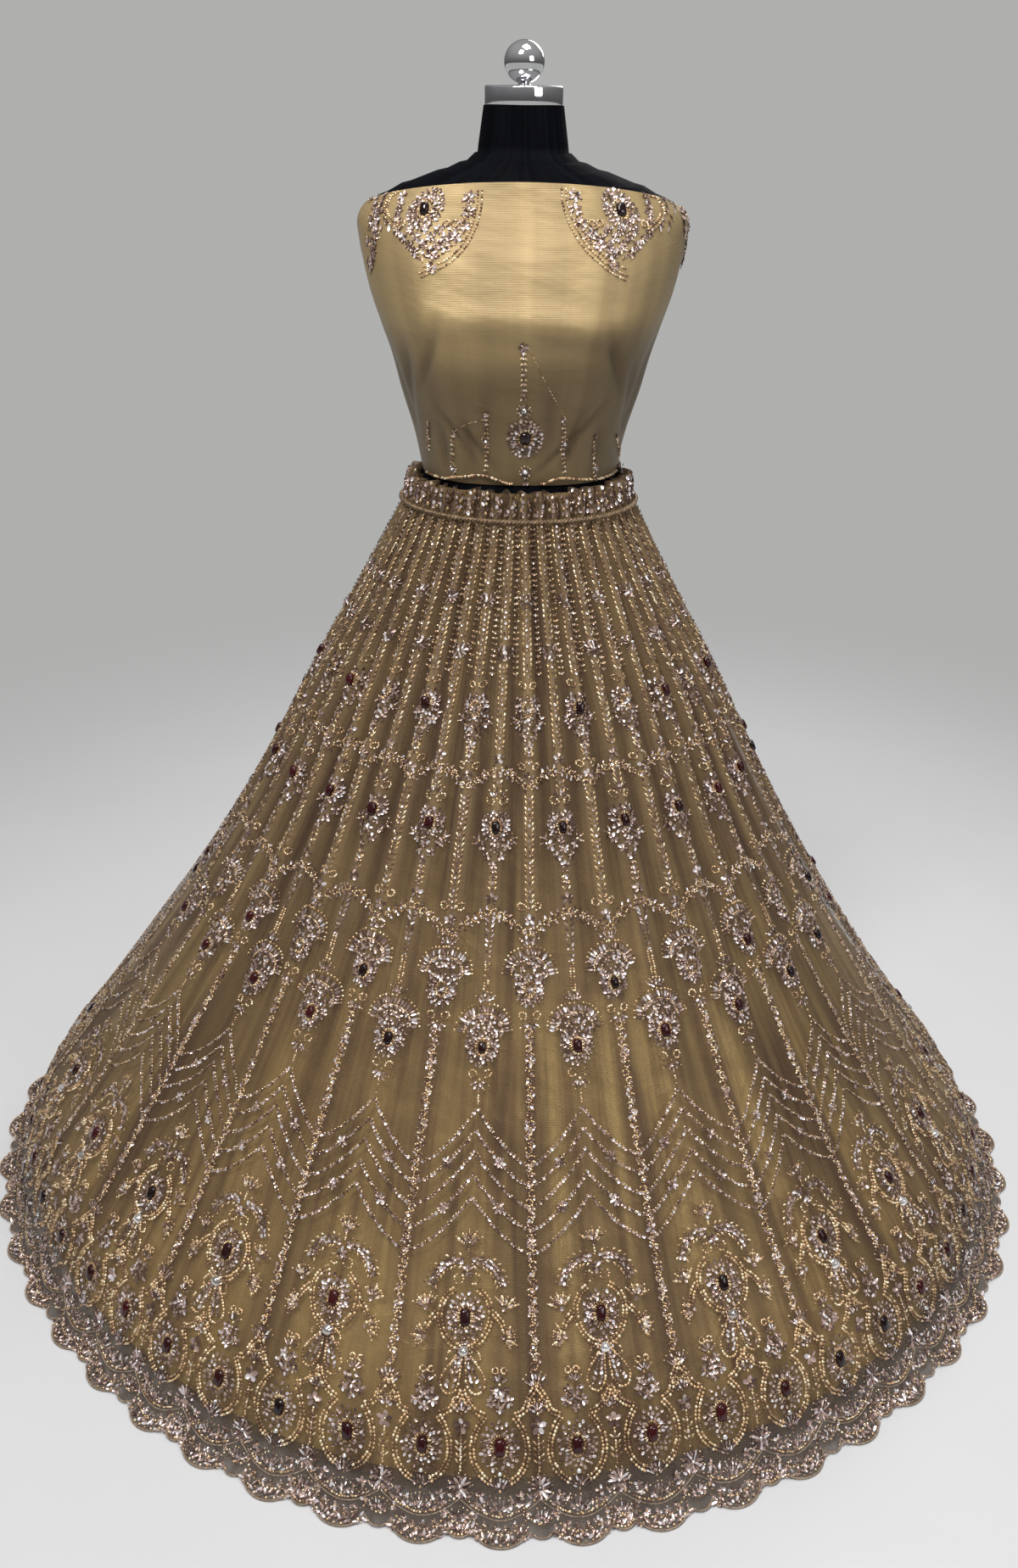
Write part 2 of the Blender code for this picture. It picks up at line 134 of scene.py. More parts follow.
def crease_depth(creases: Sequence[Crease], angle: Array, level: Array) -> Array:
    """Add up the creases at points of a cloth.

    Args:
        creases: The folds, with angles, widths and leans in degrees.
        angle: Angle of each point round the body, in radians.
        level: Level of each point, in the same unit as the folds' low and high.

    Returns:
        How far each point lies inside the smooth form.
    """
    total = np.zeros(np.broadcast(angle, level).shape)
    for crease in creases:
        along = (level - crease.low) / (crease.high - crease.low)
        middle = math.radians(crease.angle) + math.radians(crease.lean) * (along - 0.5)
        away = np.mod(angle - middle + math.pi, 2 * math.pi) - math.pi
        side = np.exp(-((away / math.radians(crease.width)) ** 2))
        total = total + crease.depth * side * np.sin(np.pi * np.clip(along, 0, 1)) ** 1.3
    return total


NET_CREASES = (
    Crease(-12, 0.10, 0.62, 0.0050, 2.6, 3), Crease(5, 0.22, 0.80, 0.0040, 2.2, -2),
    Crease(21, 0.06, 0.50, 0.0055, 2.8, 4), Crease(33, 0.30, 0.92, 0.0040, 2.4, -3),
    Crease(-27, 0.26, 0.86, 0.0045, 2.5, 2), Crease(-41, 0.08, 0.55, 0.0060, 3.0, -4),
    Crease(49, 0.10, 0.60, 0.0050, 2.9, 3), Crease(63, 0.24, 0.84, 0.0045, 2.6, -2),
    Crease(-57, 0.20, 0.78, 0.0050, 2.8, 3), Crease(-73, 0.06, 0.48, 0.0060, 3.2, -3),
    Crease(79, 0.08, 0.52, 0.0045, 3.0, 4), Crease(94, 0.26, 0.88, 0.0016, 2.7, -3),
    Crease(-89, 0.28, 0.90, 0.0045, 2.6, 2), Crease(-104, 0.10, 0.58, 0.0055, 3.1, 4),
    Crease(110, 0.07, 0.50, 0.0060, 3.2, 2), Crease(124, 0.22, 0.82, 0.0045, 2.5, -4),
    Crease(-119, 0.24, 0.80, 0.0050, 2.7, -2), Crease(-135, 0.08, 0.54, 0.0055, 3.0, 3),
    Crease(140, 0.10, 0.62, 0.0050, 2.8, 3), Crease(155, 0.28, 0.90, 0.0040, 2.4, -2),
    Crease(-150, 0.26, 0.84, 0.0045, 2.6, -3), Crease(-165, 0.06, 0.46, 0.0060, 3.1, 4),
    Crease(171, 0.12, 0.66, 0.0050, 2.7, -3), Crease(-178, 0.40, 0.96, 0.0035, 2.2, 2),
)
LINING_CREASES = (
    Crease(-6, 0.10, 0.90, 0.0095, 3.4, 4), Crease(13, 0.07, 0.70, 0.0085, 3.0, -5),
    Crease(29, 0.20, 1.00, 0.0080, 3.2, 3), Crease(44, 0.08, 0.66, 0.0100, 3.6, -3),
    Crease(-22, 0.07, 0.62, 0.0090, 3.3, 5), Crease(-35, 0.22, 0.98, 0.0080, 3.0, -4),
    Crease(58, 0.16, 0.88, 0.0085, 3.2, 4), Crease(72, 0.07, 0.60, 0.0070, 3.6, -2),
    Crease(-51, 0.08, 0.72, 0.0095, 3.5, 3), Crease(-67, 0.18, 0.94, 0.0080, 3.0, -3),
    Crease(88, 0.12, 0.82, 0.0020, 3.4, 4), Crease(103, 0.07, 0.58, 0.0060, 3.7, -4),
    Crease(-83, 0.07, 0.60, 0.0100, 3.6, 2), Crease(-98, 0.16, 0.90, 0.0085, 3.1, -5),
    Crease(118, 0.20, 0.96, 0.0080, 3.0, 3), Crease(133, 0.08, 0.68, 0.0095, 3.5, -3),
    Crease(-113, 0.08, 0.70, 0.0095, 3.4, 4), Crease(-128, 0.20, 1.00, 0.0080, 3.0, -2),
    Crease(148, 0.14, 0.86, 0.0085, 3.3, 4), Crease(163, 0.07, 0.60, 0.0100, 3.6, -4),
    Crease(-143, 0.07, 0.62, 0.0100, 3.6, 3), Crease(-158, 0.18, 0.92, 0.0085, 3.1, -4),
    Crease(178, 0.10, 0.84, 0.0090, 3.3, 3), Crease(-172, 0.24, 1.00, 0.0075, 2.9, 2),
)
BLOUSE_CREASES = (
    Crease(-41, 1.092, 1.196, 0.0042, 3.2, 22), Crease(44, 1.088, 1.188, 0.0044, 3.2, -20),
    Crease(-60, 1.050, 1.170, 0.0034, 4.0, 14), Crease(62, 1.040, 1.150, 0.0040, 4.2, -16),
    Crease(-16, 1.010, 1.110, 0.0022, 3.2, 3), Crease(14, 1.015, 1.120, 0.0024, 3.0, -3),
    Crease(27, 1.000, 1.090, 0.0034, 3.0, 5), Crease(-26, 1.000, 1.075, 0.0026, 3.0, -4),
    Crease(-44, 0.998, 1.060, 0.0026, 3.2, 3), Crease(45, 1.000, 1.070, 0.0028, 3.2, -4),
    Crease(-72, 1.030, 1.160, 0.0040, 6.0, -8), Crease(74, 1.025, 1.170, 0.0040, 6.0, 9),
    Crease(-84, 1.150, 1.280, 0.0030, 6.0, 9), Crease(86, 1.150, 1.285, 0.0030, 6.0, -9),
    Crease(-101, 1.020, 1.190, 0.0034, 5.5, 7), Crease(104, 1.030, 1.200, 0.0036, 5.0, -6),
    Crease(-122, 1.060, 1.240, 0.0030, 5.0, -6), Crease(126, 1.010, 1.160, 0.0034, 5.5, 7),
    Crease(-143, 1.010, 1.150, 0.0034, 4.6, 5), Crease(147, 1.080, 1.250, 0.0030, 5.0, -5),
    Crease(-160, 1.110, 1.270, 0.0028, 4.5, -5), Crease(162, 1.000, 1.130, 0.0030, 4.6, 4),
    Crease(0, 1.225, 1.300, 0.0008, 7.0, 4), Crease(-22, 1.235, 1.305, 0.0018, 5.0, -6),
    Crease(24, 1.232, 1.300, 0.0018, 5.0, 6), Crease(20, 1.000, 1.062, 0.0026, 2.4, 26),
    Crease(-21, 1.000, 1.070, 0.0026, 2.4, -24), Crease(34, 1.020, 1.104, 0.0026, 2.4, 22),
    Crease(-34, 1.012, 1.092, 0.0026, 2.4, -20),
)


class SkirtForm:
    """Slope of the skirt by angle and by reach along the slope, the same curves as the CAD part's."""

    NAMES = ("height", "radius", "shift", "pleat", "flute")
    ROWS = np.array([
        (0.0013, 0.7300, -0.0010, 0.000, 0.000), (0.0060, 0.7085, -0.0014, 0.000, 0.000),
        (0.0200, 0.6985, -0.0020, 0.000, 0.002), (0.0976, 0.6620, -0.0040, 0.000, 0.006),
        (0.1952, 0.5900, -0.0066, 0.002, 0.010), (0.3123, 0.5085, -0.0064, 0.004, 0.012),
        (0.4392, 0.4240, -0.0036, 0.006, 0.012), (0.5856, 0.3390, -0.0012, 0.010, 0.009),
        (0.7320, 0.2632, 0.0000, 0.014, 0.005), (0.8588, 0.1935, 0.0000, 0.016, 0.001),
        (0.9230, 0.1595, 0.0000, 0.014, 0.000), (0.9560, 0.1430, 0.0000, 0.008, 0.000),
        (0.9880, 0.1325, 0.0000, 0.007, 0.000),
    ])
    LOBES = ((2, 0.0093, -31.3), (3, 0.0147, 37.2), (4, 0.0113, -10.1))
    SCALLOPS = ((0.0, 0.08, 0.010), (0.25, 0.17, 0.0), (0.5, 0.08, 0.010), (0.75, 0.17, 0.0), (1.0, 0.08, 0.010))

    def __init__(self) -> None:
        """Measure the reaches and build the curves."""
        steps = np.hypot(np.diff(self.ROWS[:, 1]), np.diff(self.ROWS[:, 0]))
        self.reaches = np.concatenate([[0.0], np.cumsum(steps)])
        self.curve = {name: smooth_curve(self.reaches, self.ROWS[:, i]) for i, name in enumerate(self.NAMES)}

    def ring(self, angle: Array, radius: Array, reach: Array) -> Array:
        """Points of the oval section at a reach."""
        height = self.curve["height"](reach)
        ratio = 1.0 - (1.0 - WAIST_DEPTH_RATIO) * height / WAIST_HEIGHT
        across = radius * np.sin(angle) + self.curve["shift"](reach)
        along = -radius * ratio * np.cos(angle)
        return np.stack(np.broadcast_arrays(across, along, height), axis=-1)

    def slope_radius(self, angle: Array, reach: Array) -> Array:
        """Radius over the ridges, with the lobes of the spread hem."""
        fade = np.maximum(0.0, 1.0 - self.curve["height"](reach) / WAIST_HEIGHT)
        lobes = sum(size * np.cos(count * (angle - math.radians(turn))) for count, size, turn in self.LOBES)
        return self.curve["radius"](reach) + fade * lobes

    def net(self, angle: Array, reach: Array) -> Array:
        """Points of the net's outer face, with its pleats, flutes and listed creases."""
        pleat = 0.5 - 0.5 * np.cos(PLEAT_COUNT * (angle - FIRST_SEAM))
        flute = 0.28 * np.sin(7 * angle + 0.5) + 0.22 * np.sin(16 * angle + 2.0)
        inset = self.curve["pleat"](reach) * pleat + self.curve["flute"](reach) * flute
        fold = crease_depth(NET_CREASES, angle, reach) * 0.7
        gather = smooth_step((reach - 0.70) / 0.3) * smooth_step((1.14 - reach) / 0.1)
        uneven = 0.0016 * gather * np.sin(61 * angle + 3 * np.sin(9 * angle + 4 * reach))
        heading = smooth_step((reach - 1.135) / 0.02)
        ruffle = 0.0046 * heading * self.ruffle(angle)
        limit = np.minimum(fold, 0.2 * self.curve["radius"](reach))
        points = self.ring(angle, self.slope_radius(angle, reach) - inset - limit + uneven + ruffle, reach)
        points[..., 2] += 0.0026 * smooth_step((reach - 1.145) / 0.015) * np.sin(31 * angle + 2 * np.sin(9 * angle))
        return points

    @staticmethod
    def ruffle(angle: Array) -> Array:
        """Uneven small folds of the heading, from -1 to 1."""
        return np.cos(PLEAT_COUNT * (angle - FIRST_SEAM) + 0.5 * np.sin(7 * angle) + 0.4 * np.sin(17 * angle + 1.0))

    def pleat_shade(self, angle: Array, reach: Array) -> Array:
        """How deep each point lies between the pleats and between the heading's ruffles, from 0 to 1; the net's colour
        takes it as painted shade.
        """
        pleat = 0.5 - 0.5 * np.cos(PLEAT_COUNT * (angle - FIRST_SEAM))
        deep = smooth_step((self.curve["pleat"](reach) - 0.002) / 0.010) * pleat
        heading = smooth_step((reach - 1.132) / 0.010)
        return deep * (1 - heading) + heading * (0.5 - 0.5 * self.ruffle(angle))

    def lining(self, angle: Array, reach: Array) -> Array:
        """Points of the satin lining under the net."""
        slack = np.where(self.curve["height"](reach) > 0.86, 0.0005, LINING_SLACK)
        inside = self.curve["pleat"](reach) + 0.5 * self.curve["flute"](reach) + NET_WALL + slack
        fold = 0.6 * crease_depth(LINING_CREASES, angle, reach) + 0.7 * crease_depth(NET_CREASES, angle, reach)
        return self.ring(angle, self.slope_radius(angle, reach) - inside - fold - 0.0012, reach)

    def cord(self, angle: Array, lift: Array) -> Array:
        """Points round the waist cord's line, lifted outwards."""
        reach = np.full_like(angle, CORD_REACH)
        return self.ring(angle, self.slope_radius(angle, reach) + CORD_RADIUS + 0.0003 + lift, reach)

    def edge_reach(self, place: Array) -> Array:
        """Reach of the scalloped edge across a gore, for places from 0 to 1."""
        edge = np.full_like(place, SCALLOP_VALLEY)
        for middle, half_width, tip in self.SCALLOPS:
            away = np.abs(place - middle) / half_width
            bulge = np.maximum(0.0, 1.0 - np.minimum(away, 1.0) ** 2) ** SCALLOP_ROUNDNESS
            edge = np.minimum(edge, SCALLOP_VALLEY - (SCALLOP_VALLEY - tip) * bulge)
        return edge

    def gore_width(self, reach: Array) -> Array:
        """Width of one gore at a reach, seam to seam."""
        return self.curve["radius"](reach) * KALI_ANGLE

    def cut_area(self, low: float, high: float) -> float:
        """Flat area of the whole slope between two reaches."""
        reach = np.linspace(low, high, 200)
        radius = self.curve["radius"](reach)
        return float(np.sum((radius[1:] + radius[:-1]) / 2 * np.diff(reach)) * 2 * math.pi)


class BlouseForm:
    """The wrapped choli by angle and height, the same curves as the CAD part's."""

    LOW = 0.992
    LAP_ANGLE = 0.26
    SQUARE = 2.1
    ROWS = np.array([
        (0.992, 0.1178, 0.1000, 0.1020, 0.0900), (1.040, 0.1275, 0.1080, 0.1120, 0.0930),
        (1.090, 0.1420, 0.1230, 0.1320, 0.0960), (1.130, 0.1520, 0.1360, 0.1500, 0.0990),
        (1.165, 0.1630, 0.1425, 0.1600, 0.1010), (1.207, 0.1780, 0.1300, 0.1450, 0.1030),
        (1.252, 0.1875, 0.1130, 0.1250, 0.1020), (1.285, 0.1860, 0.0980, 0.1080, 0.0980),
        (1.307, 0.1680, 0.0890, 0.0980, 0.0880), (1.325, 0.1500, 0.0830, 0.0900, 0.0800),
    ])

    def __init__(self) -> None:
        """Build the curves."""
        names = ("width", "span", "swell", "back")
        self.curve = {name: smooth_curve(self.ROWS[:, 0], self.ROWS[:, i + 1]) for i, name in enumerate(names)}

    def smooth(self, angle: Array, height: Array) -> Array:
        """Points of the form without folds."""
        sine = np.sin(angle)
        cosine = np.cos(angle)
        across = self.curve["width"](height) * np.sign(sine) * np.abs(sine) ** (2 / self.SQUARE)
        run = np.abs(cosine) ** (2 / self.SQUARE)
        soft = 0.009
        swell = self.curve["swell"](height) * run
        limited = -soft * np.log(np.exp(-swell / soft) + np.exp(-self.curve["span"](height) / soft))
        start = -soft * np.log(1 + np.exp(-self.curve["span"](height) / soft))
        front = -(limited - start)
        along = np.where(cosine >= 0, front, self.curve["back"](height) * run)
        return np.stack(np.broadcast_arrays(across, along, height), axis=-1)

    def top(self, angle: Array) -> Array:
        """Height of the upper edge."""
        return 1.288 + 0.034 * np.maximum(0.0, np.cos(angle)) ** 0.75

    def point(self, angle: Array, height: Array) -> Array:
        """Points of the satin's outer face, with its soft folds and the lap at the back."""
        slack = np.sin(np.pi * np.clip((height - 0.992) / 0.33, 0, 1)) * np.clip(1.15 - np.cos(angle), 0, 1)
        fold = 0.0022 * slack * (0.5 + 0.5 * np.cos(9 * angle + 4 * height))
        lap = (SATIN_WALL + 0.0010) * smooth_step((angle - (math.pi - 1.20)) / 0.60)
        ripple = self.shelf(angle, height) - 1.2 * crease_depth(BLOUSE_CREASES, angle, height)
        smooth = self.smooth(angle, height)
        out = smooth * np.array([1.0, 1.0, 0.0])
        out = out / np.maximum(1e-6, np.linalg.norm(out, axis=-1, keepdims=True))
        return smooth + out * (fold + lap + ripple + 0.0006)[..., None]

    def shelf(self, angle: Array, height: Array) -> Array:
        """The soft shelf of cloth held under the bust, sharper at the right, and its ripples."""
        front = np.exp(-(((np.mod(angle + math.pi, 2 * math.pi) - math.pi) / 0.75) ** 4))
        sharp = 0.010 + 0.006 * (1 - smooth_step(angle / 0.9 + 0.5))
        line = 1.168 + 0.006 * np.cos(2.4 * angle + 0.4)
        under = -0.0060 * front * np.exp(-(((height - line + 0.016) / (sharp + 0.004)) ** 2))
        over = 0.0022 * front * np.exp(-(((height - line - 0.010) / 0.016) ** 2))
        return under + over


def surface_frames(surface: Surface, angle: Array, level: Array, small: float = 0.0012) -> Tuple[Array, ...]:
    """Find where points of a surface are and how it lies there.

    Args:
        surface: The surface, by angle and level.
        angle: Angle of each point.
        level: Level of each point.
        small: Step used to feel the slope.

    Returns:
        Points, and unit vectors to the right, up along the cloth and out of it.
    """
    point = surface(angle, level)
    turn = small / 0.4
    across = surface(angle + turn, level) - surface(angle - turn, level)
    upward = surface(angle, level + small) - surface(angle, level - small)
    out = np.cross(across, upward)
    out = out / np.maximum(1e-12, np.linalg.norm(out, axis=-1, keepdims=True))
    right = across / np.maximum(1e-12, np.linalg.norm(across, axis=-1, keepdims=True))
    up = np.cross(out, right)
    return point, right, up, out


class Kind(Enum):
    """Small things sewn on, by the record's slot."""

    BEAD = "beads"
    SEQUIN = "sequins"
    CRYSTAL = "crystals"
    STONE = "stones"


class Only(Enum):
    """Which gores carry an item."""

    ALL = 0
    ODD = 1
    EVEN = 2


def ring_of(count: int, across: float, up: float, out: float, turn: float = 0.0) -> List[Tuple[float, ...]]:
    """Points of a ring in an item's own frame, which is one long and one wide."""
    turns = [turn + 2 * math.pi * i / count for i in range(count)]
    return [(across * math.cos(a) / 2, up * math.sin(a) / 2, out) for a in turns]


def bridge(low: int, high: int, count: int) -> List[Tuple[int, int, int]]:
    """Triangles between two rings of the same count."""
    faces = []
    for i in range(count):
        after = (i + 1) % count
        faces.append((low + i, low + after, high + after))
        faces.append((low + i, high + after, high + i))
    return faces


def make_shapes() -> Dict[Kind, Tuple[Array, Array]]:
    """Vertices and triangles of each kind of item, out along z."""
    bead = ring_of(5, 1, 1, 0.15) + [(0, 0, 1)]
    bead_faces = [(i, (i + 1) % 5, 5) for i in range(5)]
    sequin = ring_of(6, 1, 1, 0.75) + [(0, 0, 0.2)]
    sequin_faces = [(i, (i + 1) % 6, 6) for i in range(6)]
    gem = ring_of(8, 1, 1, 0.25) + ring_of(8, 0.58, 0.58, 1.0, math.pi / 8)
    gem_faces = bridge(0, 8, 8) + [(8, 8 + i, 9 + i) for i in range(1, 7)]
    cut = ((0.5, 0.30), (0.36, 0.5), (-0.36, 0.5), (-0.5, 0.30), (-0.5, -0.30), (-0.36, -0.5), (0.36, -0.5), (0.5, -0.30))
    stone = [(x * grow, y * grow, z) for grow, z in ((1.0, 0.0), (1.0, 0.45), (0.80, 0.85), (0.62, 1.0)) for x, y in cut]
    stone_faces = bridge(0, 8, 8) + bridge(8, 16, 8) + bridge(16, 24, 8) + [(24, 24 + i, 25 + i) for i in range(1, 7)]
    shapes = {
        Kind.BEAD: (bead, bead_faces),
        Kind.SEQUIN: (sequin, sequin_faces),
        Kind.CRYSTAL: (gem, gem_faces),
        Kind.STONE: (stone, stone_faces),
    }
    return {kind: (np.array(points), np.array(faces)) for kind, (points, faces) in shapes.items()}


SHAPES = make_shapes()


class Pattern:
    """Collects the items of one repeat of the embroidery.

    Places are (u, s): u counts across a gore from one seam (0) to the next (1), s is the reach. A
    stretch function turns a small move into that chart, so that motifs keep their size everywhere.
    """

    def __init__(self, width_at: Callable[[Array], Array]) -> None:
        """Start an empty pattern on a chart whose width at a level is known."""
        self.width_at = width_at
        self.rows: Dict[Kind, List[Tuple[float, ...]]] = {kind: [] for kind in Kind}
        self.only = Only.ALL

    def put(self, kind: Kind, u: float, s: float, x: float, y: float, turn: float = 0.0,
            size: Tuple[float, float, float] = (0.0028, 0.0028, 0.0018)) -> None:
        """Sew on one item.

        Args:
            kind: What is sewn on.
            u: Place of the motif across the gore.
            s: Reach of the motif.
            x: Move to the right of it.
            y: Move up from it.
            turn: Angle of the item's long side from the right.
            size: Length, width and height.
        """
        width = float(self.width_at(np.array(s + y)))
        self.rows[kind].append((u + x / width, s + y, turn, *size, self.only.value))

    def metric(self, path: Array) -> Tuple[Array, Array, Array]:
        """Length along a (u, s) path, with the steps across and up."""
        middle = (path[1:, 1] + path[:-1, 1]) / 2
        across = np.diff(path[:, 0]) * self.width_at(middle)
        up = np.diff(path[:, 1])
        return np.concatenate([[0.0], np.cumsum(np.hypot(across, up))]), across, up

    def along(self, path: Array, pitch: float, place: Callable[[float, float, float, int], None]) -> None:
        """Call place(u, s, heading, number) at even steps along a path."""
        length, across, up = self.metric(path)
        count = max(1, int(round(length[-1] / pitch)))
        for number in range(count):
            at = (number + 0.5) * length[-1] / count
            cell = min(len(across) - 1, max(0, int(np.searchsorted(length, at)) - 1))
            u = float(np.interp(at, length, path[:, 0]))
            s = float(np.interp(at, length, path[:, 1]))
            place(u, s, math.atan2(up[cell], across[cell]), number)

    def string(self, path: Array, kind: Kind, pitch: float, size: Tuple[float, float, float],
               rows: Sequence[float] = (0.0,)) -> None:
        """Sew one or more rows of items along a path, each at its distance to the left."""
        def place(u: float, s: float, heading: float, number: int) -> None:
            """Sew the items of one step."""
            for row in rows:
                self.put(kind, u, s, -row * math.sin(heading), row * math.cos(heading), heading, size)
        self.along(path, pitch, place)

    def chevrons(self, path: Array, pitch: float, width: float, length: float = 0.0062) -> None:
        """Sew pairs of leaf sequins in a herringbone along a path, with a bead between them."""
        def place(u: float, s: float, heading: float, number: int) -> None:
            """Sew one pair."""
            for side in (-1, 1):
                turn = heading + side * 0.75
                x = -side * width * math.sin(heading) + 0.2 * width * math.cos(heading)
                y = side * width * math.cos(heading) + 0.2 * width * math.sin(heading)
                self.put(Kind.BEAD, u, s, x, y, turn, (length, 0.0024, 0.0022))
            self.put(Kind.SEQUIN, u, s, 0, 0, heading, (0.0036, 0.0030, 0.0014))
        self.along(path, pitch, place)

    def spokes(self, u: float, s: float, x: float, y: float, reach: Tuple[float, float], count: int,
               start: float = 0.0, sweep: float = 2 * math.pi, inner: float = 0.35,
               kind: Kind = Kind.SEQUIN) -> None:
        """Sew leaf sequins that point away from a middle, each with a bead at its tip."""
        closed = sweep > 6.2
        for i in range(count):
            turn = start + sweep * (i / count if closed else i / max(1, count - 1))
            far = 1.0 / math.hypot(math.cos(turn) / reach[0], math.sin(turn) / reach[1])
            long = far * (0.93 - inner)
            middle = far * (inner + 0.93) / 2
            width = min(0.0036, 0.9 * sweep * middle / count)
            if long > 0.0085:
                for part in (0.27, 0.74):
                    at = far * inner + long * part
                    self.put(kind, u, s, x + at * math.cos(turn), y + at * math.sin(turn), turn,
                             (long * 0.54, width, 0.0018))
            else:
                self.put(kind, u, s, x + middle * math.cos(turn), y + middle * math.sin(turn), turn,
                         (long, width, 0.0018))
            self.put(Kind.BEAD, u, s, x + far * math.cos(turn), y + far * math.sin(turn), turn,
                     (0.0024, 0.0020, 0.0018))

    def burst(self, u: float, s: float, rx: float, ry: float, stone: bool = True, rays: int = 20) -> None:
        """Sew a stone in a ring of beads, with two rings of petals that overlap."""
        wide = max(0.0040, rx * 0.22)
        high = max(0.0062, ry * 0.28)
        rings = ((0.56, 0.0048, 0.5), (0.74, 0.0050, -0.5), (0.92, 0.0050, 0.4), (0.40, 0.0062, 0.0))
        for ring, (part, length, lean) in enumerate(rings):
            for i in range(rays):
                turn = 2 * math.pi * (i + 0.5 * ring) / rays
                edge = part / math.hypot(math.cos(turn) / rx, math.sin(turn) / ry)
                tilt = lean if i % 2 else -lean
                if ring == 3:
                    self.put(Kind.BEAD, u, s, edge * math.cos(turn), edge * math.sin(turn), turn,
                             (length * rx / 0.020, 0.0015, 0.0022))
                else:
                    self.put(Kind.SEQUIN, u, s, edge * math.cos(turn), edge * math.sin(turn), turn + tilt,
                             (length, 0.0036, 0.0020))
        for i in range(16):
            turn = 2 * math.pi * i / 16
            self.put(Kind.BEAD, u, s, wide * 1.62 * math.cos(turn), high * 1.50 * math.sin(turn), turn,
                     (0.0036, 0.0025, 0.0026))
        if stone:
            self.put(Kind.STONE, u, s, 0, 0, math.pi / 2, (high * 2.35, wide * 2.3, 0.0052))
        else:
            self.flower(u, s, 0, 0, wide * 1.2, 6)
            self.put(Kind.CRYSTAL, u, s, 0, 0, 0, (wide, wide, 0.0032))

    def flower(self, u: float, s: float, x: float, y: float, radius: float, petals: int = 5,
               turn: float = 1.57) -> None:
        """Sew a small flower of leaf sequins with a bead in the middle."""
        for i in range(petals):
            lie = turn + 2 * math.pi * i / petals
            self.put(Kind.SEQUIN, u, s, x + 0.58 * radius * math.cos(lie), y + 0.58 * radius * math.sin(lie), lie,
                     (radius * 0.95, radius * min(0.66, 3.4 / petals), 0.0018))
        self.put(Kind.BEAD, u, s, x, y, 0, (0.0030, 0.0030, 0.0026))

    def daisy(self, u: float, s: float, radius: float, petals: int = 12) -> None:
        """Sew a round flower with a ring of beads and a sequin in the middle."""
        self.flower(u, s, 0, 0, radius, petals)
        self.spokes(u, s, 0, 0, (radius * 1.06, radius * 1.06), petals, 0.13, 2 * math.pi, 0.72)
        self.put(Kind.SEQUIN, u, s, 0, 0, 0, (radius * 0.5, radius * 0.5, 0.0022))
        self.put(Kind.CRYSTAL, u, s, 0, 0, 0, (0.0042, 0.0042, 0.0030))

    def fan(self, u: float, s: float, x: float, y: float, size: float, lie: float, rays: int = 5) -> None:
        """Sew a fan bud that opens towards a lie."""
        self.spokes(u, s, x, y, (size, size), rays, lie - 0.95, 1.9, 0.25)
        self.put(Kind.BEAD, u, s, x, y, lie, (0.0036, 0.0030, 0.0024))

    def palmette(self, u: float, s: float, x: float, y: float, size: float, lie: float, rays: int = 5) -> None:
        """Sew a gold bud of long beads, with leaf sequins between them, that opens towards a lie."""
        self.spokes(u, s, x, y, (size, size), rays, lie - 0.95, 1.9, 0.25, Kind.BEAD)
        self.spokes(u, s, x, y, (size * 0.8, size * 0.8), rays - 1, lie - 0.71, 1.42, 0.30)
        self.put(Kind.SEQUIN, u, s, x, y, lie, (0.0050, 0.0050, 0.0024))

    def scroll(self, u: float, s: float, x: float, y: float, radius: float) -> None:
        """Sew a pair of small rings of beads side by side."""
        for side in (-1, 1):
            for i in range(9):
                turn = 2 * math.pi * i / 9
                self.put(Kind.BEAD, u, s, side * x + radius * math.cos(turn), y + radius * math.sin(turn),
                         turn + 1.57, (0.0034, 0.0026, 0.0026))

    def garland(self, path: Array, pitch: float = 0.0088, radius: float = 0.0034) -> None:
        """Sew a chain of small bead curls along a path, each with a leaf on either side."""
        def curl(u: float, s: float, heading: float, number: int) -> None:
            """Sew one curl."""
            side = 1 if number % 2 else -1
            for i in range(7):
                turn = heading + side * (2 * math.pi * i / 8 + 0.6)
                self.put(Kind.BEAD, u, s, radius * math.cos(turn), radius * math.sin(turn), turn + 1.57,
                         (0.0031, 0.0023, 0.0022))
            self.put(Kind.SEQUIN, u, s, 0, 0, heading, (0.0038, 0.0038, 0.0016))
            for way in (side, -side):
                lie = heading + way * 1.15
                self.put(Kind.SEQUIN, u, s, 1.7 * radius * math.cos(lie), 1.7 * radius * math.sin(lie), lie,
                         (0.0050, 0.0028, 0.0014))
        self.along(path, pitch, curl)

    def shape(self, u: float, s: float, points: Sequence[Tuple[float, float]], steps: int = 40) -> Array:
        """A smooth (u, s) path through points given as moves in metres from a place."""
        points = np.array(points)
        knots = np.concatenate([[0.0], np.cumsum(np.hypot(*np.diff(points, axis=0).T))])
        at = np.linspace(0, knots[-1], steps)
        if len(points) > 2:
            x = smooth_curve(knots, points[:, 0])(at)
            y = smooth_curve(knots, points[:, 1])(at)
        else:
            x = np.interp(at, knots, points[:, 0])
            y = np.interp(at, knots, points[:, 1])
        return np.stack([u + x / self.width_at(s + y), s + y], axis=1)


DOUBLE = (-0.0021, 0.0021)
ROPE = (-0.0024, 0.0024)
SEED = (0.0034, 0.0028, 0.0028)
OUTLINE = (0.0043, 0.0036, 0.0037)
ROPE_SEQUIN = (0.0050, 0.0034, 0.0015)


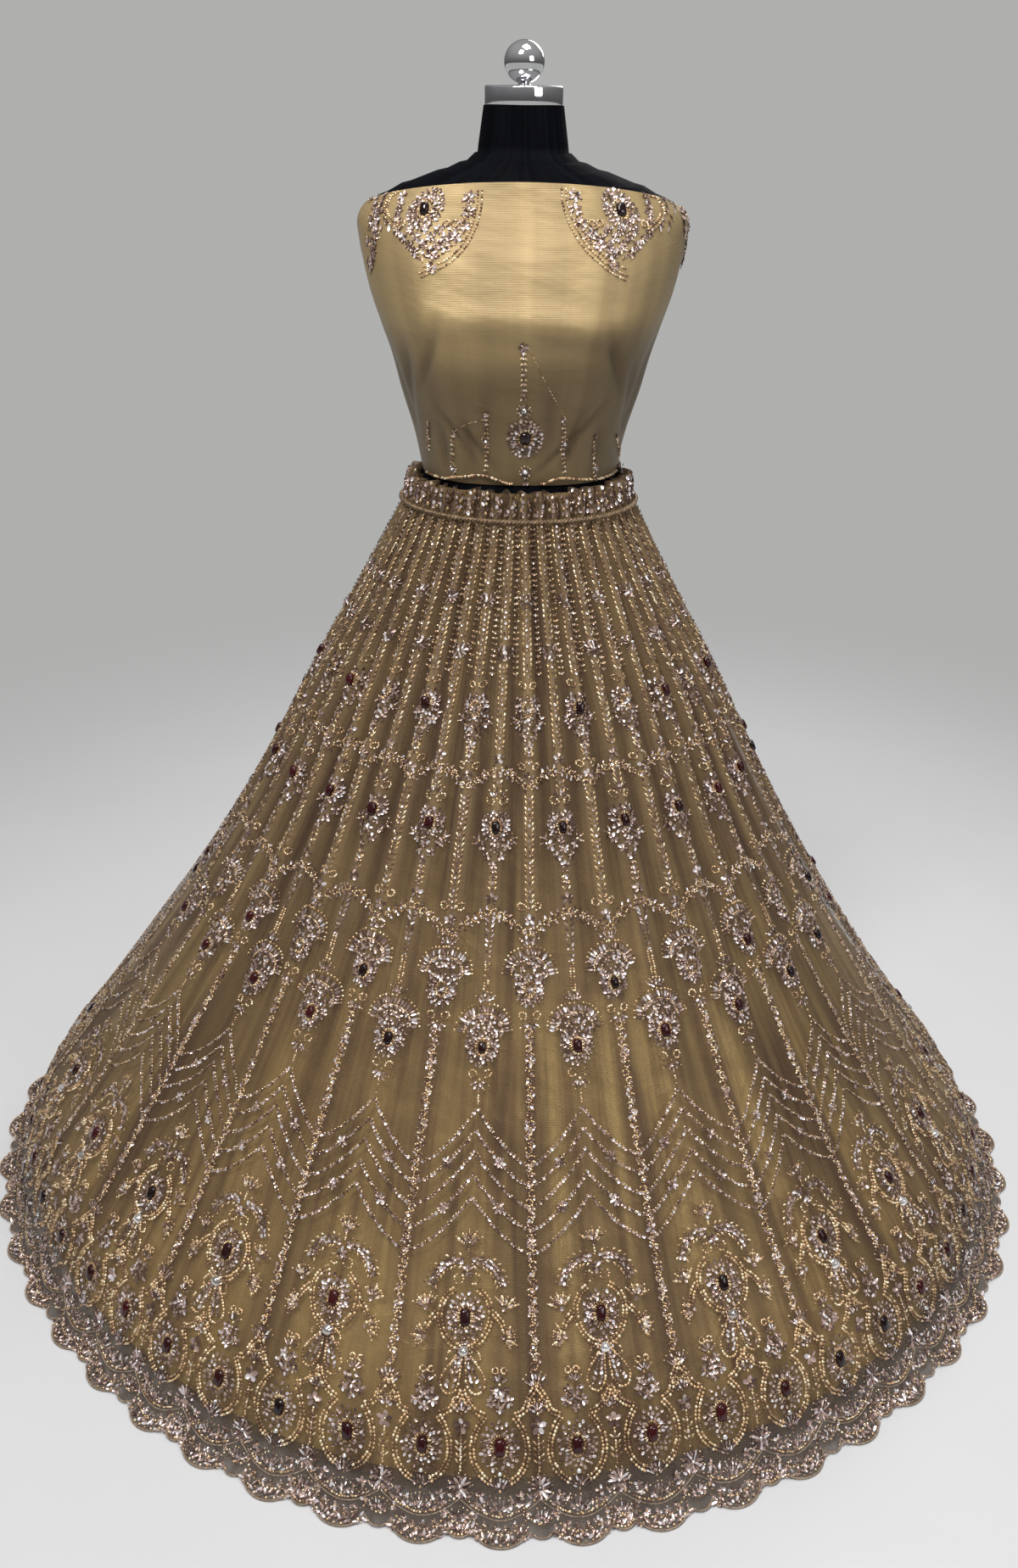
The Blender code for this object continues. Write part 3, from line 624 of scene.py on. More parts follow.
class GoreEmbroidery:
    """The repeat sewn on each gore, motif by motif from the hem to the waist."""

    def __init__(self, skirt: SkirtForm) -> None:
        """Lay out the whole repeat."""
        self.pattern = Pattern(skirt.gore_width)
        self.hem(skirt)
        self.teardrops()
        self.border_flowers()
        self.medallion()
        self.seam_vines()
        self.swags()
        self.upper_stones()
        self.festoons()
        self.waist_lines()

    @staticmethod
    def swag(low: float, rise: float, power: float = 1.6) -> Array:
        """A hanging line whose lowest points are on the seams and peaks at mid-gore."""
        u = np.linspace(0, 1, 61)
        return np.stack([u, low + rise * (1 - np.abs(1 - 2 * u)) ** power], axis=1)

    def hem(self, skirt: SkirtForm) -> None:
        """Sprays along the scalloped edge and above the inner cord."""
        p = self.pattern
        for middle, half_width, _ in skirt.SCALLOPS[1:4]:
            count = 7
            reach = 0.78 * half_width
            for i in range(count):
                place = middle + reach * (2 * i / (count - 1) - 1)
                edge = float(skirt.edge_reach(np.array([place]))[0])
                lean = 1.57 - 0.55 * (2 * i / (count - 1) - 1)
                p.fan(place, edge + 0.0035, 0, 0, 0.0125, lean, 3)
        for number in range(16):
            place = (number + 0.5) / 16
            edge = float(skirt.edge_reach(np.array([place]))[0])
            p.flower(place, edge + 0.0195, 0, 0, 0.0050, 5)
        path = np.array([(place, float(skirt.edge_reach(np.array([place]))[0]) + 0.0145)
                         for place in np.linspace(0, 1, 60)])
        p.string(path, Kind.BEAD, 0.0050, SEED)
        for number in range(14):
            place = (number + 0.5) / 14
            away = abs((place % 0.5) - 0.25) / 0.25
            p.fan(place, 0.0285 + 0.0195 * away**1.8 + 0.0045, 0, 0, 0.0095, 1.57, 3)
        for middle in (0.0, 0.5):
            p.fan(middle, 0.026, 0, 0, 0.014, 1.57, 7)
        for middle in (0.25, 0.75):
            p.fan(middle, 0.0345, 0, 0, 0.016, 1.57, 7)
            p.string(p.shape(middle, 0.030, [(-0.030, 0.012), (-0.015, 0.005), (0, 0.002), (0.015, 0.005),
                                             (0.030, 0.012)]), Kind.BEAD, 0.0032, SEED)
            for side in (-1, 1):
                p.fan(middle, 0.040, side * 0.017, 0.002, 0.011, 1.57 + side * -0.4, 3)
                p.flower(middle, 0.052, side * 0.022, 0.000, 0.0055, 5)

    def teardrops(self) -> None:
        """Two teardrops a gore, outlined in doubled beads, that open into festoons."""
        p = self.pattern
        for middle in (0.25, 0.75):
            for side in (-1, 1):
                peak = 0.057 if (side > 0) == (middle < 0.5) else 0.066
                bulb = [(0.010, -0.037), (0.021, -0.028), (0.0295, -0.011), (0.0290, 0.006), (0.0235, 0.020),
                        (0.0155, 0.031)]
                flare = [(0.0160, 0.0315), (0.0250, 0.0350), (0.0330, peak - 0.015), (0.0385, peak - 0.007),
                         (0.0405, peak)]
                for outline in (bulb, flare):
                    path = p.shape(middle, 0.101, [(side * x, y) for x, y in outline])
                    p.string(path, Kind.BEAD, 0.0039, OUTLINE, DOUBLE)
            p.burst(middle, 0.101, 0.0225, 0.0275)
            p.fan(middle, 0.056, 0, 0, 0.016, 1.57, 7)
            p.put(Kind.CRYSTAL, middle, 0.062, 0, 0.012, 0, (0.006, 0.006, 0.0035))
            for side in (-1, 1):
                p.flower(middle, 0.146, side * 0.0095, 0, 0.0064, 6)
                p.flower(middle, 0.157, side * 0.0060, 0, 0.0054, 5)
            p.flower(middle, 0.140, 0, 0, 0.0060, 6)
            p.flower(middle, 0.150, 0, 0, 0.0060, 6)
            p.fan(middle, 0.163, 0, 0, 0.0115, 1.57, 5)
            p.scroll(middle, 0.172, 0.0046, 0.004, 0.0030)

    def border_flowers(self) -> None:
        """Daisies, chains and small flowers between the teardrops."""
        p = self.pattern
        for middle in (0.0, 0.5):
            p.daisy(middle, 0.060, 0.0125)
            p.string(p.shape(middle, 0.075, [(0, 0), (0, 0.040)]), Kind.BEAD, 0.0034, (0.0034, 0.0028, 0.0024))
            p.chevrons(p.shape(middle, 0.082, [(0, 0), (0, 0.026)]), 0.0068, 0.0042)
            p.flower(middle, 0.122, 0, 0, 0.0090, 5)
            p.fan(middle, 0.134, 0, 0, 0.013, 1.57, 5)
            p.scroll(middle, 0.150, 0.0065, -0.004, 0.0040)
        p.fan(0.0, 0.158, 0, 0, 0.018, 1.57, 7)

    def medallion(self) -> None:
        """The large motif of the border, with laurel arcs above and two paisleys below."""
        p = self.pattern
        s = 0.229
        p.burst(0.5, s, 0.0205, 0.0265, True, 22)
        for side in (-1, 1):
            outline = [(0.004, -0.031), (0.017, -0.024), (0.026, -0.010), (0.028, 0.005), (0.022, 0.020),
                       (0.012, 0.029)]
            p.string(p.shape(0.5, s, [(side * x, y) for x, y in outline]), Kind.BEAD, 0.0039, OUTLINE, DOUBLE)
            laurel = [(0.004, 0.058), (0.018, 0.057), (0.031, 0.048), (0.041, 0.030)]
            path = p.shape(0.5, s, [(side * x, y) for x, y in laurel])
            p.string(path, Kind.SEQUIN, 0.0047, ROPE_SEQUIN, ROPE)
            p.chevrons(path, 0.0066, 0.0068, 0.0050)
            p.palmette(0.5, s, side * 0.043, 0.007, 0.0165, 1.57 - side * 0.25, 5)
            stem = [(0.031, 0.004), (0.040, -0.006), (0.046, -0.018)]
            p.string(p.shape(0.5, s, [(side * x, y) for x, y in stem], 16), Kind.BEAD, 0.0036, OUTLINE, DOUBLE)
            p.palmette(0.5, s, side * 0.043, -0.021, 0.0160, 0.05 if side > 0 else 3.09, 5)
            curl = [(0.009, -0.030), (0.016, -0.035), (0.018, -0.042), (0.012, -0.044), (0.009, -0.039)]
            p.string(p.shape(0.5, s, [(side * x, y) for x, y in curl], 24), Kind.BEAD, 0.0029, SEED)
            self.paisley(0.5, s - 0.055, side)
        p.put(Kind.CRYSTAL, 0.5, s, 0, -0.034, 0, (0.0130, 0.0130, 0.0055))
        p.spokes(0.5, s, 0, -0.034, (0.0098, 0.0098), 14, 0.0, 2 * math.pi, 0.72)
        p.scroll(0.5, s, 0.009, 0.039, 0.0052)
        p.flower(0.5, s, 0, 0.048, 0.0070, 6)
        p.string(p.shape(0.5, s, [(0, 0.060), (0, 0.072)]), Kind.BEAD, 0.0031, (0.0031, 0.0026, 0.0022))
        p.palmette(0.5, s, 0, 0.072, 0.0180, 1.57, 5)

    def paisley(self, u: float, s: float, side: int) -> None:
        """One slender paisley that leans outwards, with a beaded outline and rows of small leaves."""
        p = self.pattern
        outline = [(0.003, 0.027), (0.008, 0.016), (0.019, 0.003), (0.0245, -0.009), (0.0205, -0.019),
                   (0.012, -0.0205), (0.005, -0.012), (0.003, 0.003), (0.002, 0.018)]
        path = p.shape(u, s, [(side * x, y) for x, y in outline], 60)
        p.string(path, Kind.BEAD, 0.0035, (0.0039, 0.0032, 0.0033))
        for row in range(7):
            y = -0.013 + row * 0.0047
            for way in (-1, 1):
                x = 0.0142 - row * 0.0015 + way * (0.0042 - row * 0.0004)
                p.put(Kind.SEQUIN, u, s, side * x, y, 1.57 - way * side * 0.6, (0.0056, 0.0034, 0.0018))

    def seam_vines(self) -> None:
        """A narrow vine of curls that climbs each seam through the swags."""
        p = self.pattern
        def curl(u: float, s: float, heading: float, number: int) -> None:
            """Sew one curl of the vine."""
            side = 1 if number % 2 else -1
            for i in range(7):
                turn = 1.57 + side * (2 * math.pi * i / 8 - 0.9)
                p.put(Kind.BEAD, u, s, side * 0.0016 + 0.0036 * math.cos(turn), 0.0036 * math.sin(turn),
                      turn + 1.57, (0.0034, 0.0026, 0.0026))
            p.put(Kind.SEQUIN, u, s, side * 0.0016, 0, 0, (0.0040, 0.0040, 0.0018))
            p.put(Kind.SEQUIN, u, s, -side * 0.0042, 0.0040, 1.57 + side * 0.7, (0.0052, 0.0030, 0.0016))
        p.along(p.shape(0.0, 0.176, [(0, 0), (0, 0.362)]), 0.0092, curl)
        for s in (0.238, 0.305, 0.430, 0.500):
            p.flower(0.0, s, 0, 0, 0.0066, 6)

    def swags(self) -> None:
        """Five hanging lines of doubled sequins over the seam vines."""
        p = self.pattern
        lows = (0.294, 0.319, 0.3425, 0.366, 0.387)
        peaks = (0.354, 0.378, 0.403, 0.426, 0.449)
        for number, (low, peak) in enumerate(zip(lows, peaks)):
            path = self.swag(low, peak - low)
            p.string(path, Kind.SEQUIN, 0.0045, (0.0042, 0.0036, 0.0016))
            p.string(path, Kind.BEAD, 0.0045, (0.0028, 0.0020, 0.0026), (0.0017,))
            if number in (1, 3):
                for u in (0.27, 0.73):
                    s = low + (peak - low) * (1 - abs(1 - 2 * u)) ** 1.6
                    p.flower(u, s, 0, 0, 0.0070, 7)

    def upper_stones(self) -> None:
        """Stones under crests of leaves, at mid-gore and on the seams."""
        p = self.pattern
        self.crest(0.5, 0.517, 0.0195, 0.0225, 0.026, 0.041)
        p.string(p.shape(0.5, 0.517, [(0, -0.052), (0, -0.064)]), Kind.BEAD, 0.0032, SEED)
        p.only = Only.ODD
        p.burst(0.0, 0.581, 0.0170, 0.0200, True, 18)
        p.only = Only.EVEN
        p.burst(0.0, 0.581, 0.0170, 0.0200, False, 18)
        p.only = Only.ALL
        self.crest(0.0, 0.581, 0.0, 0.0, 0.025, 0.041)
        for y in (-0.058, -0.0625, -0.067):
            p.put(Kind.SEQUIN, 0.0, 0.581, 0, y, 1.57, (0.0046, 0.0036, 0.0014))
        p.burst(0.5, 0.768, 0.0160, 0.0205, True, 18)
        self.triangle(0.5, 0.768, -0.022, 0.020)
        p.scroll(0.5, 0.768, 0.0075, 0.030, 0.0042)
        p.fan(0.5, 0.768, 0, 0.034, 0.0120, 1.57, 5)
        p.only = Only.ODD
        p.burst(0.0, 0.906, 0.0140, 0.0185, True, 16)
        p.only = Only.EVEN
        p.burst(0.0, 0.906, 0.0140, 0.0185, False, 16)
        p.only = Only.ALL
        self.triangle(0.0, 0.906, -0.020, 0.0145)
        p.scroll(0.0, 0.906, 0.0055, 0.028, 0.0036)
        p.daisy(0.5, 0.974, 0.0100, 11)
        p.daisy(0.0, 1.035, 0.0090, 11)

    def crest(self, u: float, s: float, rx: float, ry: float, half: float, top: float) -> None:
        """A burst under a dome of leaves, over ring scrolls and a hanging fan."""
        p = self.pattern
        if rx:
            p.burst(u, s, rx, ry)
        dome = [(-half, top * 0.33), (-half * 0.86, top * 0.66), (-half * 0.42, top * 0.92), (0, top),
                (half * 0.42, top * 0.92), (half * 0.86, top * 0.66), (half, top * 0.33)]
        path = p.shape(u, s, dome, 50)
        p.string(path, Kind.BEAD, 0.0032, SEED, (-0.0036,))

        def leaf(at_u: float, at_s: float, heading: float, number: int) -> None:
            """Sew one leaf of the dome pointing outwards."""
            lie = heading + math.pi / 2
            p.put(Kind.SEQUIN, at_u, at_s, 0.002 * math.cos(lie), 0.002 * math.sin(lie), lie,
                  (0.0082, 0.0032, 0.0014))
            p.put(Kind.BEAD, at_u, at_s, 0.0078 * math.cos(lie), 0.0078 * math.sin(lie), lie, SEED)
            lie += math.pi + 0.5
            p.put(Kind.SEQUIN, at_u, at_s, 0.0052 * math.cos(lie), 0.0052 * math.sin(lie), lie,
                  (0.0072, 0.0032, 0.0016))
        p.along(path, 0.0040, leaf)
        for part in (8, 16, 25, 33, 41):
            p.flower(float(path[part, 0] + (u - path[part, 0]) * 0.42), float(path[part, 1] - 0.0115), 0, 0, 0.0050, 5)
        p.fan(u, s, 0, top + 0.008, 0.0135, 1.57, 5)
        p.scroll(u, s, 0.0082, -0.030, 0.0042)
        p.fan(u, s, 0, -0.036, 0.0130, -1.57, 5)

    def triangle(self, u: float, s: float, top: float, half: float) -> None:
        """A hanging triangle of small flowers with a leafy tail."""
        p = self.pattern
        for side in (-1, 1):
            p.flower(u, s, side * half * 0.72, top - 0.002, 0.0062, 5)
            p.fan(u, s, side * half * 0.95, top + 0.003, 0.0080, 1.57 - side * 1.0, 3)
            p.flower(u, s, side * half * 0.36, top - 0.012, 0.0056, 5)
        p.flower(u, s, 0, top - 0.002, 0.0060, 6)
        p.flower(u, s, 0, top - 0.021, 0.0052, 5)
        p.chevrons(p.shape(u, s, [(0, top - 0.026), (0, top - 0.044)]), 0.0060, 0.0030, 0.0046)

    def festoons(self) -> None:
        """Two rows of hanging ropes with their scrolls and chains."""
        p = self.pattern
        path = self.swag(0.645, 0.028, 1.25)
        p.garland(path)
        p.flower(0.0, 0.661, 0, 0, 0.0070, 5)
        p.scroll(0.0, 0.675, 0.0095, 0, 0.0040)
        p.chevrons(p.shape(0.0, 0.672, [(0, 0), (0, 0.026)]), 0.0060, 0.0036)
        for step in range(9):
            s = 0.662 - 0.0060 * step
            half = 0.0075 - 0.0006 * step
            for side in (-1, 1):
                p.put(Kind.SEQUIN, 0.5, s, side * half * 0.5, 0, 1.57 - side * 0.75, (half * 1.05, 0.0028, 0.0013))
        p.string(p.shape(0.5, 0.612, [(0, 0), (0, -0.034)]), Kind.BEAD, 0.0032, SEED, DOUBLE)
        p.flower(0.5, 0.686, 0, 0, 0.0072, 5)
        p.chevrons(p.shape(0.5, 0.694, [(0, 0), (0, 0.018)]), 0.0060, 0.0034)
        path = self.swag(0.815, 0.022, 1.25)
        p.garland(path, 0.0084, 0.0032)
        p.scroll(0.0, 0.838, 0.0080, 0, 0.0036)
        p.flower(0.0, 0.828, 0, 0, 0.0060, 5)
        p.flower(0.5, 0.849, 0, 0, 0.0062, 5)

    def waist_lines(self) -> None:
        """Herringbone lines on the ridges, and the beads of the gathered heading."""
        p = self.pattern
        for u, spans in ((0.0, ((0.700, 0.806), (0.850, 0.862), (0.944, 1.022), (1.048, 1.126))),
                         (0.5, ((0.806, 0.830), (0.858, 0.960), (0.988, 1.126)))):
            for low, high in spans:
                p.chevrons(p.shape(u, low, [(0, 0), (0, high - low)]), 0.0062, 0.0038, 0.0068)
        for u in (0.25, 0.75):
            p.chevrons(p.shape(u, 0.940, [(0, 0), (0, 0.182)]), 0.0070, 0.0024, 0.0040)
        for row in range(5):
            for ridge in (0.0, 0.5):
                for place in (-0.13, -0.045, 0.045, 0.13):
                    kind = Kind.BEAD if (row + (place > 0)) % 2 and abs(place) > 0.1 else Kind.SEQUIN
                    p.put(kind, (ridge + place) % 1.0, 1.137 + row * 0.0056, 0, 0, 1.57, (0.0056, 0.0044, 0.0024))


class CholiEmbroidery:
    """The choli's embroidery. Motifs are placed where the photo shows them.

    Places are (u, s): u is the angle round the body and s the height of the cloth.
    """

    RADIUS = 0.155

    def __init__(self, blouse: "BlouseForm", shot: "Shot") -> None:
        """Lay out both halves and the centre."""
        self.pattern = Pattern(lambda level: np.full(np.shape(level), self.RADIUS))
        self.angles = np.linspace(-1.62, 1.62, 460)[None, :]
        self.levels = blouse.LOW + np.linspace(0, 1, 330)[:, None] * (blouse.top(self.angles) - blouse.LOW)
        self.angles = self.angles + 0 * self.levels
        self.seen = shot.seen(blouse.point(self.angles, self.levels))
        self.neckline()
        self.shoulder_motifs()
        self.centre()
        self.hem_lines()

    def at(self, column: float, row: float) -> Tuple[float, float]:
        """Angle and height of the cloth seen at a column and row of the photo."""
        away = np.hypot(self.seen[..., 0] - column, self.seen[..., 1] - row)
        nearest = np.unravel_index(int(np.argmin(away)), away.shape)
        return float(self.angles[nearest]), float(self.levels[nearest])

    def path(self, points: Sequence[Tuple[float, float]], steps: int = 60) -> Array:
        """A smooth chart path through points given as photo columns and rows."""
        places = np.array([self.at(x, y) for x, y in points])
        knots = np.concatenate([[0.0], np.cumsum(np.hypot(np.diff(places[:, 0]) * self.RADIUS,
                                                          np.diff(places[:, 1])))])
        at = np.linspace(0, knots[-1], steps)
        if len(places) < 3:
            return np.stack([np.interp(at, knots, places[:, 0]), np.interp(at, knots, places[:, 1])], axis=1)
        return smooth_curve(knots, places)(at)

    def neckline(self) -> None:
        """The corded V lines with seed beads and the band of star flowers along them."""
        p = self.pattern
        lines = (((569, 222), (567, 245), (562, 267), (551, 289), (531, 309), (511, 320), (496, 327)),
                 ((662, 221), (664, 245), (674, 270), (688, 292), (708, 312), (727, 325), (739, 331)))
        bands = (((553, 225), (553, 240), (552, 256), (544, 271), (530, 285), (512, 297), (503, 304)),
                 ((677, 222), (677, 240), (682, 257), (690, 271), (700, 285), (717, 297), (727, 304)))
        outer = (((553, 240), (537, 285), (525, 296), (514, 305), (499, 315)),
                 ((679, 240), (693, 283), (708, 297), (720, 308), (738, 318)))
        for line, band, side in zip(lines, bands, (-1, 1)):
            p.string(self.path(line), Kind.BEAD, 0.0034, (0.0036, 0.0027, 0.0027), (0.0, side * 0.0042))

            def star(u: float, s: float, heading: float, number: int) -> None:
                """Sew one star flower of the band."""
                p.flower(u, s, 0, 0, 0.0066, 6)
                p.spokes(u, s, 0, 0, (0.0074, 0.0074), 6, 0.5, 2 * math.pi, 0.7)
            p.along(self.path(band), 0.0150, star)
        for points in outer:
            p.string(self.path(points), Kind.BEAD, 0.0040, SEED)

    def shoulder_motifs(self) -> None:
        """A stone burst on each side, the floral triangle under it and leaf sprays beside it."""
        p = self.pattern
        for column, row, tip, tail, side in ((501, 246, 292, 303, -1), (732, 247, 290, 300, 1)):
            u, s = self.at(column, row)
            p.burst(u, s, 0.0205, 0.0215, True, 22)
            for y in range(4):
                half = 33 - 8 * y
                for x in np.linspace(-half, half, 5 - y):
                    place = self.at(column + float(x) + side * y, row + 24 + 9 * y + 0.003 * float(x) ** 2)
                    p.flower(*place, 0, 0, 0.0056, 6)
                    p.put(Kind.SEQUIN, *place, 0.004, 0.003, 0.8, (0.0042, 0.0030, 0.0016))
            for way in (-1, 1):
                p.scroll(*self.at(column + way * 30, row + 17), 0.0040, 0, 0.0030)
            p.chevrons(self.path(((column, tip - 4), (column + side * 7, tail + 6)), 12), 0.0058, 0.0030)
            p.flower(*self.at(column - side * 8, tail + 14), 0, 0, 0.0060, 6)
        for column, row, side in ((458, 245, -1), (778, 247, 1)):
            curve = [(column - side * 14, row - 22), (column - side * 3, row - 14), (column + side * 3, row),
                     (column - side * 2, row + 15), (column - side * 14, row + 26)]
            path = self.path(curve)
            p.string(path, Kind.BEAD, 0.0035, SEED, DOUBLE)
            for step in range(7):
                for across in (8, 17):
                    place = self.at(column + side * (across - abs(step - 2.5) * 2.5), row - 18 + 7 * step)
                    p.put(Kind.SEQUIN, *place, 0, 0, 1.57 + side * (0.5 - 0.1 * step), (0.0080, 0.0036, 0.0018))
            for step in range(4):
                p.flower(*self.at(column - side * (17 - 2 * step), row - 14 + 9 * step), 0, 0, 0.0054, 5)
        for column, side in ((431, -1), (819, 1)):
            for step in range(10):
                inner = self.at(column - side * (5 + (step % 3) * 3), 238 + step * 8.5)
                p.fan(*inner, 0, 0, 0.0095, 1.57 - side * 0.5 * (-1) ** step, 5)
                p.flower(*self.at(column - side * (16 - step), 243 + step * 8.0), 0, 0, 0.0056, 5)

    def gem(self, column: float, row: float, size: float) -> None:
        """Sew a crystal in a ring of petals."""
        place = self.at(column, row)
        self.pattern.put(Kind.CRYSTAL, *place, 0, 0, 0, (size, size, 0.0042))
        self.pattern.spokes(*place, 0, 0, (size * 1.02, size * 1.02), 11, 0, 2 * math.pi, 0.62)

    def centre(self) -> None:
        """The line of the centre front, its starburst and the thin loose threads."""
        p = self.pattern
        p.flower(*self.at(617, 409), 0, 0, 0.0056, 7)
        p.chevrons(self.path(((617, 414), (617, 474))), 0.0056, 0.0022, 0.0040)
        self.gem(618, 485, 0.0074)
        u, s = self.at(619, 517)
        p.burst(u, s, 0.0230, 0.0235, True, 24)
        self.gem(619, 557, 0.0072)
        p.flower(*self.at(620, 571), 0, 0, 0.0040, 5)
        for points in (((624, 412), (643, 450), (666, 494)), ((571, 494), (553, 499), (536, 508))):
            p.string(self.path(points), Kind.BEAD, 0.0046, (0.0040, 0.0010, 0.0010))

    def hem_lines(self) -> None:
        """Short hanging lines above the hem and the scalloped line of beads that joins them."""
        p = self.pattern
        lines = ((505, 501, 530, 0), (534, 511, 563, 553), (573, 491, 557, 520), (665, 497, 559, 523),
                 (701, 517, 563, 553), (727, 515, 545, 0))
        for column, low, high, crystal in lines:
            p.chevrons(self.path(((column, low), (column, high))), 0.0056, 0.0020, 0.0038)
            p.flower(*self.at(column, low - 2), 0, 0, 0.0036, 5)
            if crystal:
                self.gem(column, crystal, 0.0056)
        for points in (((517, 569), (542, 562), (570, 561), (604, 572)), ((636, 573), (655, 565), (683, 565),
                       (711, 573)), ((503, 560), (510, 564), (517, 569)), ((711, 573), (722, 566), (732, 560))):
            p.string(self.path(points), Kind.BEAD, 0.0034, OUTLINE)


def triangle_mesh(name: str, points: Array, faces: Array) -> bpy.types.Mesh:
    """Make a mesh from many points and faces with one number of corners.

    Args:
        name: Name of the mesh.
        points: Corners, three numbers each.
        faces: Corner numbers of each face.

    Returns:
        The mesh.
    """
    corners = faces.shape[1]
    mesh = bpy.data.meshes.new(name)
    mesh.vertices.add(len(points))
    mesh.vertices.foreach_set("co", points.astype(np.float32).ravel())
    mesh.loops.add(faces.size)
    mesh.loops.foreach_set("vertex_index", faces.astype(np.int32).ravel())
    mesh.polygons.add(len(faces))
    mesh.polygons.foreach_set("loop_start", np.arange(0, faces.size, corners, dtype=np.int32))
    mesh.update(calc_edges=True)
    mesh.validate()
    return mesh


def set_shades(mesh: bpy.types.Mesh, name: str, domain: str, values: Array) -> None:
    """Store one number per point or face for the materials to read."""
    layer = mesh.attributes.new(name, "FLOAT", domain)
    layer.data.foreach_set("value", values.astype(np.float32).ravel())


def show(mesh: bpy.types.Mesh, material: bpy.types.Material, smooth: bool = True) -> bpy.types.Object:
    """Link a mesh as a piece that stands on the form, with its material and slot."""
    mesh.materials.append(material)
    if smooth:
        mesh.shade_smooth()
    piece = bpy.data.objects.new(mesh.name, mesh)
    bpy.context.scene.collection.objects.link(piece)
    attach(piece, BODY)
    return piece


def grid_mesh(name: str, points: Array, chart: Array, closed: bool = False) -> bpy.types.Mesh:
    """Make a grid of quads with its cloth coordinates.

    Args:
        name: Name of the mesh.
        points: Rows of points.
        chart: Place of each point on the flat cloth, in metres.
        closed: Whether the last column joins the first.

    Returns:
        The mesh, with the chart as its UV map.
    """
    rows, columns = points.shape[:2]
    here = np.arange(columns if closed else columns - 1)
    after = (here + 1) % columns
    low = np.arange(rows - 1)[:, None] * columns
    faces = np.stack([low + here, low + after, low + columns + after, low + columns + here], axis=-1).reshape(-1, 4)
    mesh = triangle_mesh(name, points.reshape(-1, 3), faces)
    layer = mesh.uv_layers.new(name="cloth")
    layer.data.foreach_set("uv", chart.reshape(-1, 2)[faces.ravel()].astype(np.float32).ravel())
    return mesh


def tube_mesh(name: str, centre: Array, out: Array, radius: float, sides: int) -> bpy.types.Mesh:
    """Make a closed cord round a loop of points.

    Args:
        name: Name of the mesh.
        centre: Points of the loop.
        out: Direction out of the cloth at each point.
        radius: Radius of the cord.
        sides: Number of sides.

    Returns:
        The mesh, charted by length and by turn.
    """
    along = np.roll(centre, -1, axis=0) - np.roll(centre, 1, axis=0)
    along = along / np.maximum(1e-9, np.linalg.norm(along, axis=1, keepdims=True))
    side = np.cross(along, out)
    side = side / np.maximum(1e-9, np.linalg.norm(side, axis=1, keepdims=True))
    out = np.cross(side, along)
    turn = np.linspace(0, 2 * math.pi, sides + 1)[None, :, None]
    points = centre[:, None] + radius * (np.cos(turn) * out[:, None] + np.sin(turn) * side[:, None])
    points = np.concatenate([points, points[:1]])
    points[..., 2] = np.maximum(points[..., 2], 0.0002)
    length = np.concatenate([[0.0], np.cumsum(np.linalg.norm(np.roll(centre, -1, axis=0) - centre, axis=1))])
    chart = np.stack(np.broadcast_arrays(length[:, None], turn[..., 0] * radius), axis=-1)
    return grid_mesh(name, points, chart)


def sew(name: str, kind: Kind, surface: Surface, places: Array, material: bpy.types.Material,
        seed: int) -> bpy.types.Object:
    """Sew many items of one kind on a cloth as one piece.

    Args:
        name: Name of the piece.
        kind: What is sewn on.
        surface: The cloth, by angle and level.
        places: Angle, level, turn, length, width and height of each item.
        material: Finish of the items.
        seed: Seed of the small unevenness of hand work.

    Returns:
        The piece.
    """
    rng = np.random.default_rng(seed)
    count = len(places)
    angle, level, turn, long, wide, high = places.T
    point, right, up, out = surface_frames(surface, angle, level)
    point = point + right * rng.normal(0, 0.00022, (count, 1)) + up * rng.normal(0, 0.00022, (count, 1))
    lean = {Kind.BEAD: 0.08, Kind.SEQUIN: 0.26, Kind.CRYSTAL: 0.05, Kind.STONE: 0.02}[kind]
    out = out + right * rng.normal(0, lean, (count, 1)) + up * rng.normal(0, lean, (count, 1))
    out = out / np.linalg.norm(out, axis=1, keepdims=True)
    turn = turn + rng.normal(0, 0.07, count)
    first = right * np.cos(turn)[:, None] + up * np.sin(turn)[:, None]
    second = np.cross(out, first)
    second = second / np.linalg.norm(second, axis=1, keepdims=True)
    first = np.cross(second, out)
    shape, faces = SHAPES[kind]
    grow = rng.normal(1.0, 0.05, count)
    local_x = shape[None, :, 0] * (long * grow)[:, None]
    local_y = shape[None, :, 1] * (wide * grow)[:, None]
    local_z = shape[None, :, 2] * high[:, None] + 0.0002
    points = (point[:, None] + local_x[..., None] * first[:, None] + local_y[..., None] * second[:, None]
              + local_z[..., None] * out[:, None])
    points[..., 2] = np.maximum(points[..., 2], 0.0003)
    every = (faces[None] + (np.arange(count) * len(shape))[:, None, None]).reshape(-1, 3)
    mesh = triangle_mesh(name, points.reshape(-1, 3), every)
    set_shades(mesh, "shade", "FACE", np.repeat(rng.random(count), len(faces)))
    LOG.info("%s: %d items, %d triangles", name, count, len(every))
    return show(mesh, material, smooth=False)


@dataclass(frozen=True)
class Zone:
    """A band of the skirt's embroidery that is joined into one piece of each kind."""

    name: str
    low: float
    high: float


ZONES = (Zone("hem", -1.0, 0.115), Zone("border", 0.115, 0.212), Zone("medallion", 0.212, 0.31),
         Zone("vine", 0.31, 0.50), Zone("crest", 0.50, 0.80), Zone("waist", 0.80, 2.0))


